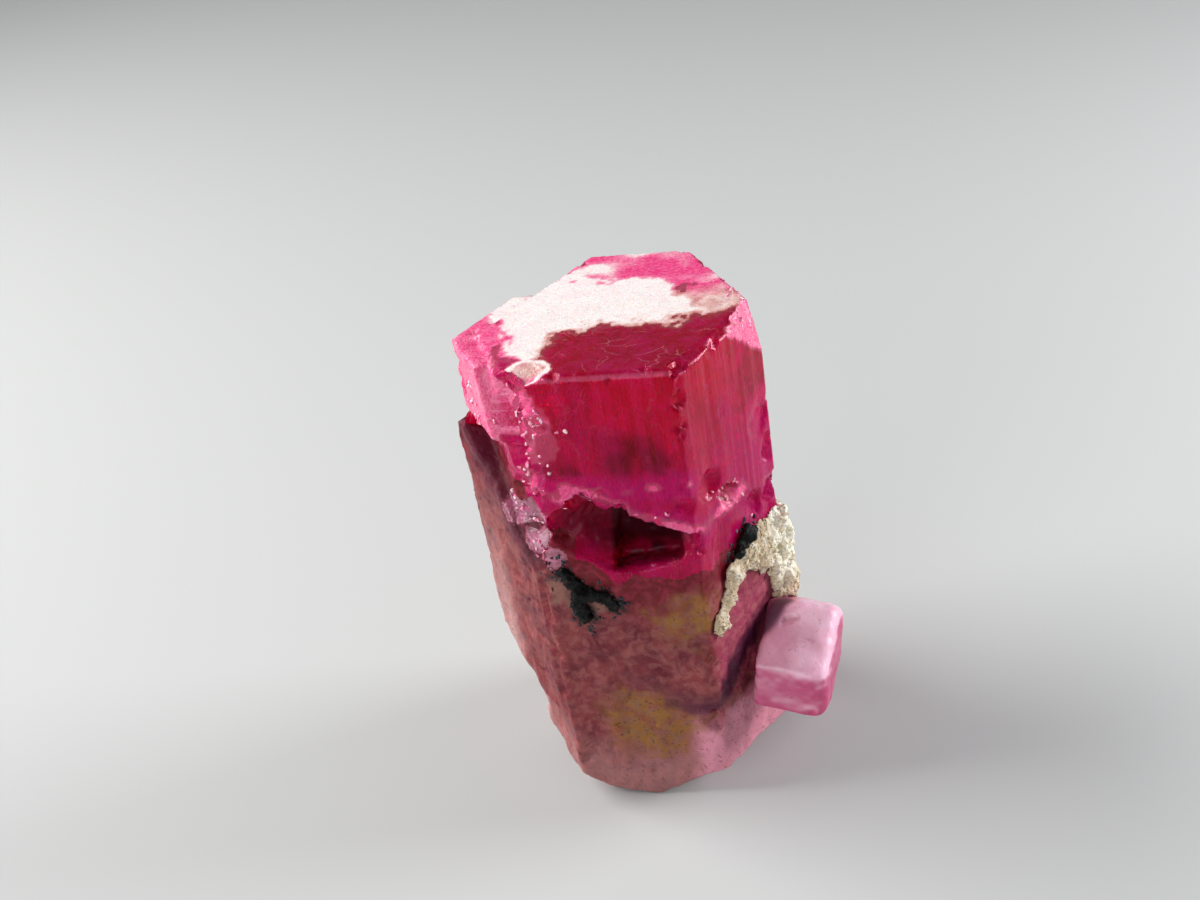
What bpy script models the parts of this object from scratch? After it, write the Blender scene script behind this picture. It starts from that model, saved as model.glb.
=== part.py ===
"""A raw red beryl crystal: a six-sided prism with a clear cap on a milky, rougher body.

A small pink crystal grows out of its right side, under a crust of pale host rock, and a few black
oxide grains sit on its faces. It stands on its broken base. Lengths are in millimetres here and
become metres where the meshes are made. +Z runs up the long axis and -Y is the front.
"""

import math

import bmesh
import bpy
from mathutils import Euler, Matrix, Vector, noise

MM = 0.001
# Widest angle between two faces that still count as one flat face, in radians
FLAT_ANGLE = 0.001
# How close to a cutting plane a point counts as on it
CUT_TOLERANCE = 1e-6

# Driving dimensions of the main crystal
HEIGHT = 17.1
SIDES = {
    "front": -90.0,
    "front_right": -30.0,
    "back_right": 30.0,
    "back": 90.0,
    "back_left": 150.0,
    "front_left": 210.0,
}
# How far each prism face lies from the long axis
CAP_REACH = {
    "front": 4.0,
    "front_right": 3.97,
    "back_right": 3.88,
    "back": 4.4,
    "back_left": 3.39,
    "front_left": 4.46,
}
BODY_REACH = {
    "front": 3.86,
    "front_right": 3.9,
    "back_right": 3.86,
    "back": 4.38,
    "back_left": 3.36,
    "front_left": 4.4,
}

# The cap ends below along a slanting plane, the front ledge: high on the left, low on the right
LEDGE_POINT = (0, -3.9, 12.05)
LEDGE_NORMAL = (-0.384, 0.16, -1.0)
BODY_TOP = 14.9

# Edge bevels of the cap's top: width and angle from the vertical for each side
TOP_BEVELS = {
    "front": (0.16, 48.0),
    "front_right": (0.3, 40.0),
    "back_right": (0.2, 48.0),
    "back": (0.3, 50.0),
    "back_left": (0.26, 46.0),
    "front_left": (0.26, 42.0),
}
# The top falls away a little towards its back, from a line behind the middle
BACK_TILT, BACK_TILT_START, BACK_TILT_AZIMUTH = 3.0, 2.1, 84.0
# The bright face broken off the right corner of the top: a point on it, azimuth, rise
CORNER_BREAK = ((4.15, -0.6, 16.2), -12.0, 20.0)

# The plate of parallel growth on the cap's left corner: how far its prism faces lie from the long
# axis, and its other faces, each a point on it and the azimuth and rise of its normal
FLAP_REACH = {"front_left": 4.9, "back_left": 3.95}
FLAP_FACES = (
    ((0, -1.95, 15.0), -70.0, 14.0),
    ((0, 1.5, 0), 84.0, 0.0),
    ((-3.0, 0, 0), 0.0, 0.0),
    ((0, 0, 16.98), 0.0, 90.0),
    ((-5.2, -1.2, 16.85), 185.0, 52.0),
    ((-4.9, -1.2, 14.5), 215.0, -62.0),
)
# The milky layer of parallel growth below it, in the same way: it widens downwards
RIB_FACES = (
    ((-3.5, -3.26, 0), 223.0, 0.0),
    ((-3.325, 1.92, 0), 150.0, -1.0),
    ((0, -3.66, 0), -90.0, 0.0),
    ((-4.9, -1.2, 14.3), -60.0, 34.0),
    ((0, 1.7, 0), 96.0, 0.0),
    ((-2.2, 0, 0), 0.0, 0.0),
    ((-5.3, -1.2, 14.1), 170.0, 64.0),
    ((-5.45, -1.2, 6.2), 196.0, -22.0),
    ((-4.9, -1.2, 4.0), 200.0, -58.0),
)

# Breaks round the foot: azimuth, distance from the axis where each meets the base, rise
FOOT_BREAKS = (
    (210.0, 3.42, -43.0),
    (-37.0, 2.05, -61.0),
    (-100.0, 3.78, -48.0),
    (22.0, 3.5, -52.0),
    (74.0, 3.9, -44.0),
    (146.0, 2.9, -50.0),
)

# Roughness of the milky body: longest edge, depth of the relief, size of its lumps
BODY_EDGE, BODY_RELIEF, BODY_GRAIN = 0.92, 0.1, 1.1
RIB_RELIEF, RIB_GRAIN = 0.07, 0.9
# The relief adds finer lumps to coarse ones: share of each, and how much finer they are
COARSE_SHARE, FINE_SHARE, FINE_PITCH = 1.2, 0.55, 2.6
# The body's flat ends reach in by the margin. What isn't on the base stays the lift above it.
BASE_MARGIN, BASE_LIFT = 0.01, 0.05
# How far apart in the noise two seeds lie
SEED_STEP = Vector((7.3, 3.1, 5.7))

# The side crystal: its axis, and its faces by their turn about that axis from the front
SIDE_AZIMUTH, SIDE_RISE = -9.5, -6.5
SIDE_CENTRE = (4.04, -1.5, 4.59)
SIDE_FACES = {0.0: 1.7, 60.0: 1.26, 120.0: 1.7, 180.0: 1.56, 240.0: 1.6, 300.0: 1.98}
SIDE_START, SIDE_END = -0.35, 2.14
SIDE_BEVEL = 0.28
SIDE_EDGE, SIDE_RELIEF, SIDE_GRAIN = 0.7, 0.05, 0.8

# Lumps of the crust of host rock: side, along it, height, radii (out, along, up), tilt
CRUST_LUMPS = (
    ("front_right", 1.3, 8.55, (0.34, 1.25, 1.0), 12.0),
    ("front_right", 1.95, 7.5, (0.4, 0.75, 1.5), -8.0),
    ("front_right", 2.15, 6.3, (0.42, 0.7, 0.95), 0.0),
    ("back_right", -1.9, 8.3, (0.4, 1.05, 1.35), 14.0),
    ("back_right", -1.95, 6.7, (0.44, 1.0, 1.15), -10.0),
    ("front_right", 0.3, 8.85, (0.3, 0.85, 0.55), 0.0),
    ("front_right", -0.55, 8.45, (0.26, 0.52, 0.66), -35.0),
    ("front_right", -1.05, 7.8, (0.24, 0.42, 0.72), -35.0),
    ("front_right", -1.55, 7.2, (0.22, 0.48, 0.5), -20.0),
)
CRUST_LUMPINESS, CRUST_GRAIN = 0.32, 0.55
# Lumps that reach further than this are more finely shaped
LARGE_LUMP = 1.2

# The clearance between neighbouring pieces
SEAT_GAP = 0.03

# The flat-walled window in the back of the cave: a point on each wall, and its outward normal
WINDOW = (
    ((-0.42, -3.6, 11.0), (-1.0, 0.12, 0.1)),
    ((1.72, -3.6, 11.0), (1.0, 0.2, 0.06)),
    ((0.6, -2.72, 11.0), (0.12, 1.0, 0.1)),
    ((0.6, -4.7, 11.0), (0.0, -1.0, 0.0)),
    ((0.5, -3.9, 9.98), (0.16, -0.3, -1.0)),
)
WINDOW_TOP_GAP = 0.12
# Hollows broken out of the main crystal: centre, radii, turn in degrees, lumpiness
CAVE = ((0.1, -4.6, 11.3), (2.65, 1.8, 1.65), (0, 8, 0), 0.1)
HOLLOWS = {
    "cave_left": ((-1.55, -4.0, 11.5), (0.95, 0.85, 0.95), (0, 0, 10), 0.12),
    "chip_front_left": ((-2.3, -4.55, 15.35), (1.05, 0.8, 0.55), (12, -6, 6), 0.16),
    "bite_edge_high": ((-3.35, -4.3, 14.2), (0.62, 0.62, 0.78), (0, 20, 30), 0.2),
    "bite_edge_low": ((-3.2, -4.3, 12.6), (0.7, 0.6, 0.6), (0, 30, 0), 0.2),
    "bite_front": ((-0.9, -4.55, 12.95), (1.25, 0.62, 0.34), (12, 6, 4), 0.18),
    "bite_front_right": ((2.05, -4.45, 12.25), (0.7, 0.62, 0.5), (0, 24, 10), 0.16),
    "pit_right_edge": ((3.14, -3.3, 12.45), (0.74, 0.74, 0.7), (0, 0, 0), 0.05),
    "pit_right": ((4.26, -1.42, 10.35), (0.74, 0.72, 0.78), (0, 0, 0), 0.05),
    "scoop_right": ((5.2, -1.5, 13.3), (1.45, 1.6, 1.5), (0, 0, 0), 0.1),
    "scoop_right_low": ((4.2, -2.4, 11.2), (0.84, 0.9, 0.62), (0, 0, 0), 0.12),
    "chip_right": ((3.55, -2.45, 14.6), (0.34, 0.5, 0.42), (10, 0, -30), 0.2),
    "bite_left": ((-5.1, -2.3, 14.35), (0.7, 0.9, 0.35), (0, 14, 30), 0.2),
    "pit_top": ((-2.2, -3.5, 17.4), (0.7, 0.55, 0.5), (0, 0, 8), 0.1),
    "chip_top_right": ((3.5, 0.4, 17.45), (0.8, 0.6, 0.46), (0, 0, 30), 0.2),
    "notch_back_left": ((-3.3, 2.1, 17.3), (0.5, 0.6, 0.6), (0, 0, 10), 0.2),
    "dent_back": ((-1.2, 5.45, 8.4), (1.7, 1.3, 2.1), (0, 10, 0), 0.12),
    "bite_back": ((0.6, 5.05, 12.9), (1.7, 0.85, 0.6), (0, 18, 0), 0.16),
    "bite_back_right": ((3.75, 3.1, 11.2), (0.9, 0.8, 0.6), (0, 24, 30), 0.18),
    "scoop_back_right": ((4.6, 2.4, 3.6), (1.3, 1.2, 1.5), (0, 0, 0), 0.14),
}

# Oxide grains, a branching chain on the front face and three above the host rock: place, size, turn
FRONT_GRAINS = (
    ((-2.14, -3.88, 9.86), 0.34, (20, 35, 10)),
    ((-2.0, -3.92, 9.62), 0.4, (50, 12, 30)),
    ((-1.84, -3.92, 9.36), 0.44, (10, 40, 60)),
    ((-1.7, -3.94, 9.04), 0.56, (35, 20, 15)),
    ((-1.8, -3.94, 8.68), 0.46, (60, 30, 0)),
    ((-1.78, -3.93, 8.36), 0.44, (15, 55, 40)),
    ((-1.68, -3.92, 8.04), 0.38, (40, 25, 70)),
    ((-1.34, -3.92, 8.96), 0.42, (25, 50, 20)),
    ((-1.06, -3.92, 8.86), 0.38, (70, 10, 20)),
    ((-0.82, -3.91, 8.7), 0.36, (30, 60, 45)),
    ((-0.7, -3.91, 8.44), 0.32, (5, 30, 20)),
)
SIDE_GRAINS = (
    ((3.64, -1.86, 9.64), 0.52, (25, 35, 10)),
    ((3.44, -2.14, 9.44), 0.38, (55, 15, 40)),
    ((3.34, -2.32, 9.2), 0.3, (10, 50, 30)),
)
GRAIN_BEVEL = 0.14


def clear_scene():
    for old in list(bpy.data.objects):
        bpy.data.objects.remove(old, do_unlink=True)


def new_collection(name, hidden=False):
    made = bpy.data.collections.new(name)
    made.hide_render = hidden
    bpy.context.scene.collection.children.link(made)
    return made


def new_material(name, colour, roughness, transmission=0.0):
    made = bpy.data.materials.new(name)
    made.use_nodes = True
    shader = made.node_tree.nodes["Principled BSDF"]
    shader.inputs["Base Color"].default_value = (*colour, 1.0)
    shader.inputs["Roughness"].default_value = roughness
    shader.inputs["Metallic"].default_value = 0.0
    shader.inputs["Transmission Weight"].default_value = transmission
    shader.inputs["IOR"].default_value = 1.57
    return made


def new_solid(name, bm, collection, material=None):
    """One named object from a bmesh in millimetres."""
    bm.transform(Matrix.Scale(MM, 4))
    bmesh.ops.recalc_face_normals(bm, faces=bm.faces)
    mesh = bpy.data.meshes.new(name)
    bm.to_mesh(mesh)
    bm.free()
    made = bpy.data.objects.new(name, mesh)
    collection.objects.link(made)
    if material:
        mesh.materials.append(material)
    if collection.hide_render:
        made.hide_render = True
        made.display_type = "WIRE"
    return made


def combine(target, other, operation):
    """A live Boolean on target. The other solid stays in the scene as a hidden helper."""
    change = target.modifiers.new(f"{operation.lower()}_{other.name}", "BOOLEAN")
    change.operation = operation
    change.object = other


def direction(azimuth, rise=0.0):
    """A unit vector from an angle in the level plane and an angle above it, in degrees."""
    turn, lift = math.radians(azimuth), math.radians(rise)
    return Vector((math.cos(turn) * math.cos(lift), math.sin(turn) * math.cos(lift), math.sin(lift)))


def on_side(side, along, height):
    """A point on one of the body's faces: along is measured level from the face's middle line."""
    azimuth = SIDES[side]
    level = direction(azimuth) * BODY_REACH[side] + direction(azimuth + 90.0) * along
    return level + Vector((0, 0, height))


def keep_below(bm, point, normal):
    """Slices off what lies beyond a plane and closes the cut."""
    whole = bm.verts[:] + bm.edges[:] + bm.faces[:]
    cut = bmesh.ops.bisect_plane(
        bm, geom=whole, dist=CUT_TOLERANCE, plane_co=point, plane_no=normal, clear_outer=True
    )
    rim = [piece for piece in cut["geom_cut"] if isinstance(piece, bmesh.types.BMEdge)]
    if rim:
        bmesh.ops.contextual_create(bm, geom=rim)


def block_between(planes, size=60.0):
    """A convex crystal: a cube cut by each (point, outward normal) in turn."""
    bm = bmesh.new()
    bmesh.ops.create_cube(bm, size=size)
    for point, normal in planes:
        keep_below(bm, Vector(point), Vector(normal).normalized())
    return bm


def prism_planes(reach, extra=0.0):
    """The upright faces of a prism, each at its own distance from the long axis."""
    return [(direction(SIDES[side]) * (reach[side] + extra), direction(SIDES[side])) for side in reach]


def aimed_planes(faces):
    """Planes from a point on each face and the azimuth and rise of its normal."""
    return [(point, direction(azimuth, rise)) for point, azimuth, rise in faces]


def split_long_edges(bm, longest, where=lambda middle: True, rounds=7):
    """Halves each edge longer than asked, until none is left, and evens out the triangles."""
    for _ in range(rounds):
        bmesh.ops.triangulate(bm, faces=bm.faces)
        level = [edge for edge in bm.edges if edge.calc_face_angle(math.pi) < FLAT_ANGLE]
        bmesh.ops.beautify_fill(bm, faces=bm.faces, edges=level)
        long_edges = [
            edge
            for edge in bm.edges
            if edge.calc_length() > longest and where((edge.verts[0].co + edge.verts[1].co) / 2)
        ]
        if not long_edges:
            break
        bmesh.ops.subdivide_edges(bm, edges=long_edges, cuts=1)
    bmesh.ops.triangulate(bm, faces=bm.faces)


def relief(point, grain, seed):
    """Smooth lumps with finer ones on them, from about -1 to 1."""
    shifted = point / grain + seed * SEED_STEP
    return noise.noise(shifted) * COARSE_SHARE + noise.noise(shifted * FINE_PITCH) * FINE_SHARE


def weather(bm, depth, grain, seed, stands=False):
    """Moves each vertex in or out by the relief. A standing block keeps its flat base, and nothing
    else on it comes down to the base's height."""
    bm.normal_update()
    moves = [vert.normal * depth * relief(vert.co, grain, seed) for vert in bm.verts]
    for vert, move in zip(bm.verts, moves):
        on_base = vert.co.z < BASE_MARGIN
        vert.co += move
        if stands:
            vert.co.z = 0.0 if on_base else max(vert.co.z, BASE_LIFT)


def rock(centre, radii, turn=(0, 0, 0), lumps=0.14, seed=0, detail=2, grain=0.9):
    """A closed lump with soft corners: an icosphere stretched, turned and made uneven."""
    bm = bmesh.new()
    bmesh.ops.create_icosphere(bm, subdivisions=detail, radius=1.0)
    for vert in bm.verts:
        vert.co *= 1.0 + lumps * relief(vert.co, grain, seed)
    spin = Euler([math.radians(angle) for angle in turn]).to_matrix().to_4x4()
    bm.transform(Matrix.Translation(centre) @ spin @ Matrix.Diagonal((*radii, 1.0)))
    return bm


def body_block(extra=0.0):
    """The milky lower prism: broken round its flat base, with a weathered surface."""
    planes = prism_planes(BODY_REACH, extra)
    planes.append(((0, 0, BODY_TOP), (0, 0, 1)))
    planes.append(((0, 0, 0), (0, 0, -1)))
    for azimuth, reach, rise in FOOT_BREAKS:
        planes.append((direction(azimuth) * (reach + extra), direction(azimuth, rise)))
    bm = block_between(planes)
    split_long_edges(bm, BODY_EDGE, lambda mid: BASE_MARGIN < mid.z < BODY_TOP - BASE_MARGIN)
    weather(bm, BODY_RELIEF, BODY_GRAIN, seed=3, stands=True)
    return bm


def cap_block(extra=0.0):
    """The clear upper prism with its bevelled top."""
    planes = prism_planes(CAP_REACH, extra)
    planes.append(((0, 0, HEIGHT + extra), (0, 0, 1)))
    planes.append((Vector(LEDGE_POINT) - Vector((0, 0, extra)), LEDGE_NORMAL))
    for side, (width, angle) in TOP_BEVELS.items():
        edge = direction(SIDES[side]) * (CAP_REACH[side] - width) + Vector((0, 0, HEIGHT))
        planes.append((edge, direction(SIDES[side], 90.0 - angle)))
    planes.append(((0, BACK_TILT_START, HEIGHT), direction(BACK_TILT_AZIMUTH, 90.0 - BACK_TILT)))
    return block_between(planes + aimed_planes([CORNER_BREAK]))


def flap_block():
    """A thin plate of parallel growth on the cap's left corner."""
    return block_between(prism_planes(FLAP_REACH) + aimed_planes(FLAP_FACES))


def rib_block():
    """The milky layer of parallel growth on the left: it widens downwards from the left corner."""
    bm = block_between(aimed_planes(RIB_FACES))
    split_long_edges(bm, BODY_EDGE)
    weather(bm, RIB_RELIEF, RIB_GRAIN, seed=11)
    return bm


def cave_block():
    """The hollow under the front ledge: a lump cut off level with the ledge's underside."""
    centre, radii, turn, lumps = CAVE
    bm = rock(centre, radii, turn, lumps, seed=4, detail=3)
    keep_below(bm, Vector(LEDGE_POINT), -Vector(LEDGE_NORMAL).normalized())
    return bm


def window_block():
    """The flat-walled recess behind the cave, just under the ledge."""
    top = Vector(LEDGE_POINT) - Vector((0, 0, WINDOW_TOP_GAP))
    return block_between([*WINDOW, (top, -Vector(LEDGE_NORMAL))])


def main_crystal(pieces, helpers, material):
    """The main crystal, one solid: body, rib, cap and flap joined, then hollowed."""
    made = new_solid("main_crystal", body_block(), pieces, material)
    for name, block in (("rib", rib_block()), ("cap", cap_block()), ("flap", flap_block())):
        combine(made, new_solid(name, block, helpers), "UNION")
    for name, block in (("cave", cave_block()), ("window", window_block())):
        combine(made, new_solid(name, block, helpers), "DIFFERENCE")
    for seed, (name, (centre, radii, turn, lumps)) in enumerate(HOLLOWS.items(), start=5):
        block = rock(centre, radii, turn, lumps, seed)
        combine(made, new_solid(name, block, helpers), "DIFFERENCE")


def side_block(extra=0.0):
    """The small crystal: six uneven faces about its own axis, a bevelled end, a worn surface."""
    axis = direction(SIDE_AZIMUTH, SIDE_RISE)
    front = direction(SIDE_AZIMUTH - 90.0)
    up = front.cross(axis)
    centre = Vector(SIDE_CENTRE)
    end = centre + axis * (SIDE_END + extra)
    planes = [(end, axis), (centre + axis * (SIDE_START - extra), -axis)]
    for turn, reach in SIDE_FACES.items():
        outward = front * math.cos(math.radians(turn)) + up * math.sin(math.radians(turn))
        planes.append((centre + outward * (reach + extra), outward))
        planes.append((end + outward * (reach + extra - SIDE_BEVEL), outward + axis))
    bm = block_between(planes)
    split_long_edges(bm, SIDE_EDGE)
    weather(bm, SIDE_RELIEF, SIDE_GRAIN, seed=31)
    return bm


def side_crystal(pieces, seats, material):
    """The small pink crystal that grows out of the front right face."""
    made = new_solid("side_crystal", side_block(), pieces, material)
    for seat in seats:
        combine(made, seat, "DIFFERENCE")


def crust_block(side, along, height, radii, tilt, seed):
    """One flat lump of the crust, its middle on the face that it covers."""
    detail = 3 if max(radii) > LARGE_LUMP else 2
    centre, turn = on_side(side, along, height), (tilt, 0, SIDES[side])
    return rock(centre, radii, turn, CRUST_LUMPINESS, seed, detail, CRUST_GRAIN)


def host_rock(pieces, helpers, seats, material):
    """The crust of pale host rock over the right edge, one solid of lumps grown together."""
    first, *others = [crust_block(*lump, seed) for seed, lump in enumerate(CRUST_LUMPS, start=41)]
    made = new_solid("host_rock", first, pieces, material)
    for index, block in enumerate(others):
        combine(made, new_solid(f"host_rock_lump_{index}", block, helpers), "UNION")
    for seat in seats:
        combine(made, seat, "DIFFERENCE")


def grain_block(place, size, turn, extra=0.0):
    """One blocky oxide grain: a cube with its edges cut off."""
    bm = bmesh.new()
    bmesh.ops.create_cube(bm, size=size + 2 * extra)
    bmesh.ops.bevel(bm, geom=bm.verts[:] + bm.edges[:], offset=size * GRAIN_BEVEL, affect="EDGES")
    spin = Euler([math.radians(angle) for angle in turn]).to_matrix().to_4x4()
    bm.transform(Matrix.Translation(place) @ spin)
    return bm


def oxide_grains(name, grains, pieces, helpers, seats, material):
    """A cluster of black grains grown into one another."""
    made = new_solid(name, grain_block(*grains[0]), pieces, material)
    for index, grain in enumerate(grains[1:]):
        combine(made, new_solid(f"{name}_{index}", grain_block(*grain), helpers), "UNION")
    for seat in seats:
        combine(made, seat, "DIFFERENCE")


def main():
    clear_scene()
    pieces = new_collection("red_beryl")
    helpers = new_collection("shaping_helpers", hidden=True)
    beryl = new_material("red_beryl", (0.62, 0.02, 0.14), 0.12, transmission=0.7)
    pink = new_material("pink_beryl", (0.7, 0.2, 0.34), 0.35)
    rhyolite = new_material("rhyolite", (0.78, 0.7, 0.48), 0.85)
    oxide = new_material("black_oxide", (0.02, 0.025, 0.03), 0.4)

    # Each seat is a neighbour grown by the clearance, cut out of the piece that lies against it
    body_seat = new_solid("body_seat", body_block(SEAT_GAP), helpers)
    cap_seat = new_solid("cap_seat", cap_block(SEAT_GAP), helpers)
    side_seat = new_solid("side_seat", side_block(SEAT_GAP), helpers)
    grain_seats = [
        new_solid(f"grain_seat_{index}", grain_block(*grain, SEAT_GAP), helpers)
        for index, grain in enumerate(SIDE_GRAINS)
    ]
    main_crystal(pieces, helpers, beryl)
    side_crystal(pieces, (body_seat,), pink)
    host_rock(pieces, helpers, (body_seat, cap_seat, side_seat, *grain_seats), rhyolite)
    oxide_grains("black_grains_front", FRONT_GRAINS, pieces, helpers, (body_seat,), oxide)
    oxide_grains("black_grains_side", SIDE_GRAINS, pieces, helpers, (body_seat, cap_seat), oxide)


main()
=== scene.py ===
"""A raw red beryl crystal standing on a pale table.

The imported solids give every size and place. This script gives the pieces their fine surface:
broken and rippled hollows, chipped edges, growth lines, milky and clear zones, stains and crumbs.
Meshes are worked on in millimetres and become metres when they are finished. +Z runs up the long
axis and -Y is the front.
"""

import itertools
import math

import bmesh
import bpy
import numpy as np
from bpy.props import FloatProperty, FloatVectorProperty, IntProperty, PointerProperty
from mathutils import Matrix, Vector


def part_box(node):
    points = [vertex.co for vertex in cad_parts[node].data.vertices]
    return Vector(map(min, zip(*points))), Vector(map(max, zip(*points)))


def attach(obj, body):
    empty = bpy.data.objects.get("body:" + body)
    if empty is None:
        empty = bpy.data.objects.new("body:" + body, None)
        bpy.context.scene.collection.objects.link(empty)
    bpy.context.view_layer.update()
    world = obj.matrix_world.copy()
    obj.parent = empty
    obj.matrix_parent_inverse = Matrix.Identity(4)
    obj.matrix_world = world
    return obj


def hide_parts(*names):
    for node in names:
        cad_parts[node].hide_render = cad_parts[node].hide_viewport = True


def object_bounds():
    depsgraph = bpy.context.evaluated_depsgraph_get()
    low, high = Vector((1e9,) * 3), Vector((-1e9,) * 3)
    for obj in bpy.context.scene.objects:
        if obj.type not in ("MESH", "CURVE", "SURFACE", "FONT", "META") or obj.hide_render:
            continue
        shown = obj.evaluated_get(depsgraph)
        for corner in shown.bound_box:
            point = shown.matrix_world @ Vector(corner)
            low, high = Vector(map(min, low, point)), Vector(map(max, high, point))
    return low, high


bl_info = {
    "name": "Red beryl crystal",
    "version": (1, 0, 0),
    "blender": (4, 5, 0),
    "location": "View3D > Sidebar > Crystal",
    "description": "Dresses the solids of a raw red beryl crystal and sets it on a pale table",
    "category": "Object",
}

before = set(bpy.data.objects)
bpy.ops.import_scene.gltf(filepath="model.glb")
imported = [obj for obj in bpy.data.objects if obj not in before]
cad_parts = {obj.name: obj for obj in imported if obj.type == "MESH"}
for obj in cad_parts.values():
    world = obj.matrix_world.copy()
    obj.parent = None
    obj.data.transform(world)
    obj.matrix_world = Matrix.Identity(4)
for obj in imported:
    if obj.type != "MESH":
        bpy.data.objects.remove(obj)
SOLID_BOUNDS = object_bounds()

MM = 0.001
ROOT = "root"
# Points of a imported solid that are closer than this, in millimetres, are one point
WELD = 0.0005
# Primes that turn a lattice cell and a seed into a fixed random number, and a shift off the origin
CELL_PRIMES = (73856093, 19349663, 83492791)
SEED_PRIME, FIRST_PRIME, SECOND_PRIME = 2654435761, 1274126177, 2246822519
LATTICE_SHIFT = 31.7

# Beryl: its refraction, its absorption per metre, and the height of its growth lines in millimetres
BERYL_IOR = 1.57
ABSORPTION = 750.0
LINE_HEIGHT = 0.008

# Faces of the main prism: azimuth, and distance from the long axis on the clear cap and the body
PRISM = (
    (-90.0, 4.0, 3.86),
    (-30.0, 3.97, 3.9),
    (30.0, 3.88, 3.86),
    (90.0, 4.4, 4.38),
    (150.0, 3.39, 3.36),
    (210.0, 4.46, 4.4),
)
TOP = 17.1
# Azimuths of the two right faces, and azimuths between which the right side's tints start and end
FRONT_RIGHT, BACK_RIGHT = -30.0, 30.0
RIGHT_START, LOW_RIGHT_START, RIGHT_END = (-62.0, -50.0), (-78.0, -66.0), (20.0, 60.0)
RIGHT_MAGENTA_START = (-50.0, -20.0)
# Heights between which each tint changes
# The left rib's paler tint low down is painted light from the left and from below
LEFT_LIT_RISE, FOOT_PALE_RISE, LOW_RIGHT_RISE, MAUVE_RISE = (4.0, 13.0), (1.0, 3.2), (2.9, 3.9), (3.5, 4.5)
# Below BRIGHT_RISE the clear cap's sides are painted brighter crimson, as painted light
BRIGHT_RISE, RIGHT_MAGENTA_RISE = (12.5, 16.0), (13.0, 15.5)

# Where the clear crystal gives way to the milky one, by azimuth round the long axis
CLEAR_FOOT = (
    (-180.0, 14.1),
    (-150.0, 14.0),
    (-130.0, 12.6),
    (-121.0, 11.2),
    (-114.0, 10.4),
    (-107.0, 10.0),
    (-94.0, 9.6),
    (-85.0, 9.45),
    (-74.0, 9.5),
    (-58.0, 9.6),
    (-34.0, 9.3),
    (0.0, 9.0),
    (66.0, 11.0),
    (107.0, 12.6),
    (150.0, 13.9),
    (180.0, 14.1),
)
CLEAR_EDGE_WANDER = 0.35

# The white patch on the top, partly etching and partly a painted reflection of the light, outlined in x and y
ETCHED_AND_GLARE_PATCH = (
    (-4.21, 0.95),
    (-2.32, 3.44),
    (-0.72, 2.3),
    (1.29, 2.0),
    (2.35, 1.0),
    (3.25, -0.4),
    (2.5, -0.8),
    (0.98, -1.05),
    (-0.34, -0.56),
    (-1.49, -1.37),
    (-1.81, -2.26),
    (-2.44, -3.09),
    (-3.38, -1.45),
    (-3.8, -0.11),
)
# The ringed chip and the rough place on the top: centre and reach
TOP_CHIP = ((-2.2, -3.5, 17.0), 0.75)
TOP_ROUGH = ((3.0, 0.6, 17.0), 1.6)

# Ochre stains on the front face, outlined in x and z
STAINS = (
    ((0.3, 8.1), (1.2, 8.45), (2.3, 8.7), (2.95, 8.4), (2.5, 7.3), (1.9, 6.5), (1.3, 6.7), (0.6, 7.1)),
    ((-1.9, 4.3), (-0.6, 4.9), (0.5, 4.5), (1.5, 3.5), (1.1, 2.0), (-0.3, 1.8), (-1.5, 2.3)),
)
# The dark seam where the side crystal starts, and the fainter one below it on the front
SEAM = (
    (4.5, -1.1, 6.3),
    (4.0, -1.6, 5.95),
    (3.5, -2.05, 5.5),
    (3.15, -2.6, 5.2),
    (2.85, -3.1, 4.8),
    (2.65, -3.4, 4.4),
)
SEAM_TAIL = ((2.65, -3.4, 4.4), (2.1, -3.85, 4.0), (1.3, -3.85, 3.95), (0.6, -3.85, 4.2))
FAINT_SEAM = ((2.1, -3.9, 4.2), (1.0, -3.9, 4.5), (0.0, -3.9, 5.1), (-0.8, -3.9, 5.5))
# A dark speck near the side crystal's free end
DARK_SPOT = (6.1, -2.55, 3.95)
# The groove from the left corner down to the front left edge, painted purple as the shade in its re-entrant
# corner
GROOVE = ((-5.1, -1.5, 14.1), (-4.6, -1.9, 13.2), (-4.15, -2.4, 12.2), (-3.7, -2.8, 11.4), (-3.2, -3.5, 10.4))
# Darker places on the clear front face: centre and reach
DARKENED_PLACES = (
    ((-2.2, -4.0, 13.6), 0.7),
    ((-1.4, -4.0, 13.4), 0.5),
    ((0.25, -4.0, 14.0), 0.55),
    ((1.35, -4.0, 13.8), 0.5),
    ((4.2, -0.8, 15.3), 0.7),
    ((4.35, -0.5, 14.3), 0.5),
)
# The recess in the back of the cave, painted dark as its shade: its least and greatest x, y and z
RECESS = ((-0.6, -3.7, 9.55), (1.85, -1.0, 12.4))
# Heights between which the cave's painted shade starts, ends and gives way to its crimson doorstep
CAVE_FOOT, CAVE_ROOF, DOORSTEP_RISE = (9.5, 10.4), (12.3, 12.9), (9.9, 10.4)
# Chains of points that the black oxide has smudged
SMUDGES = (
    ((-2.3, -3.9, 9.9), (-1.9, -3.9, 9.45), (-1.7, -3.9, 9.0), (-1.8, -3.9, 8.4), (-1.65, -3.9, 7.95)),
    ((-1.7, -3.9, 9.0), (-1.1, -3.9, 8.85), (-0.7, -3.9, 8.5)),
    ((3.7, -1.8, 9.7), (3.35, -2.3, 9.2)),
)
# Grey-brown ground between the black grains, outlined in x and z
GREY_GROUND = (
    (-3.0, 9.8),
    (-2.3, 9.7),
    (-1.8, 9.2),
    (-0.7, 8.7),
    (-0.6, 8.1),
    (-1.4, 7.8),
    (-2.1, 8.5),
    (-2.9, 9.2),
)
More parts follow.
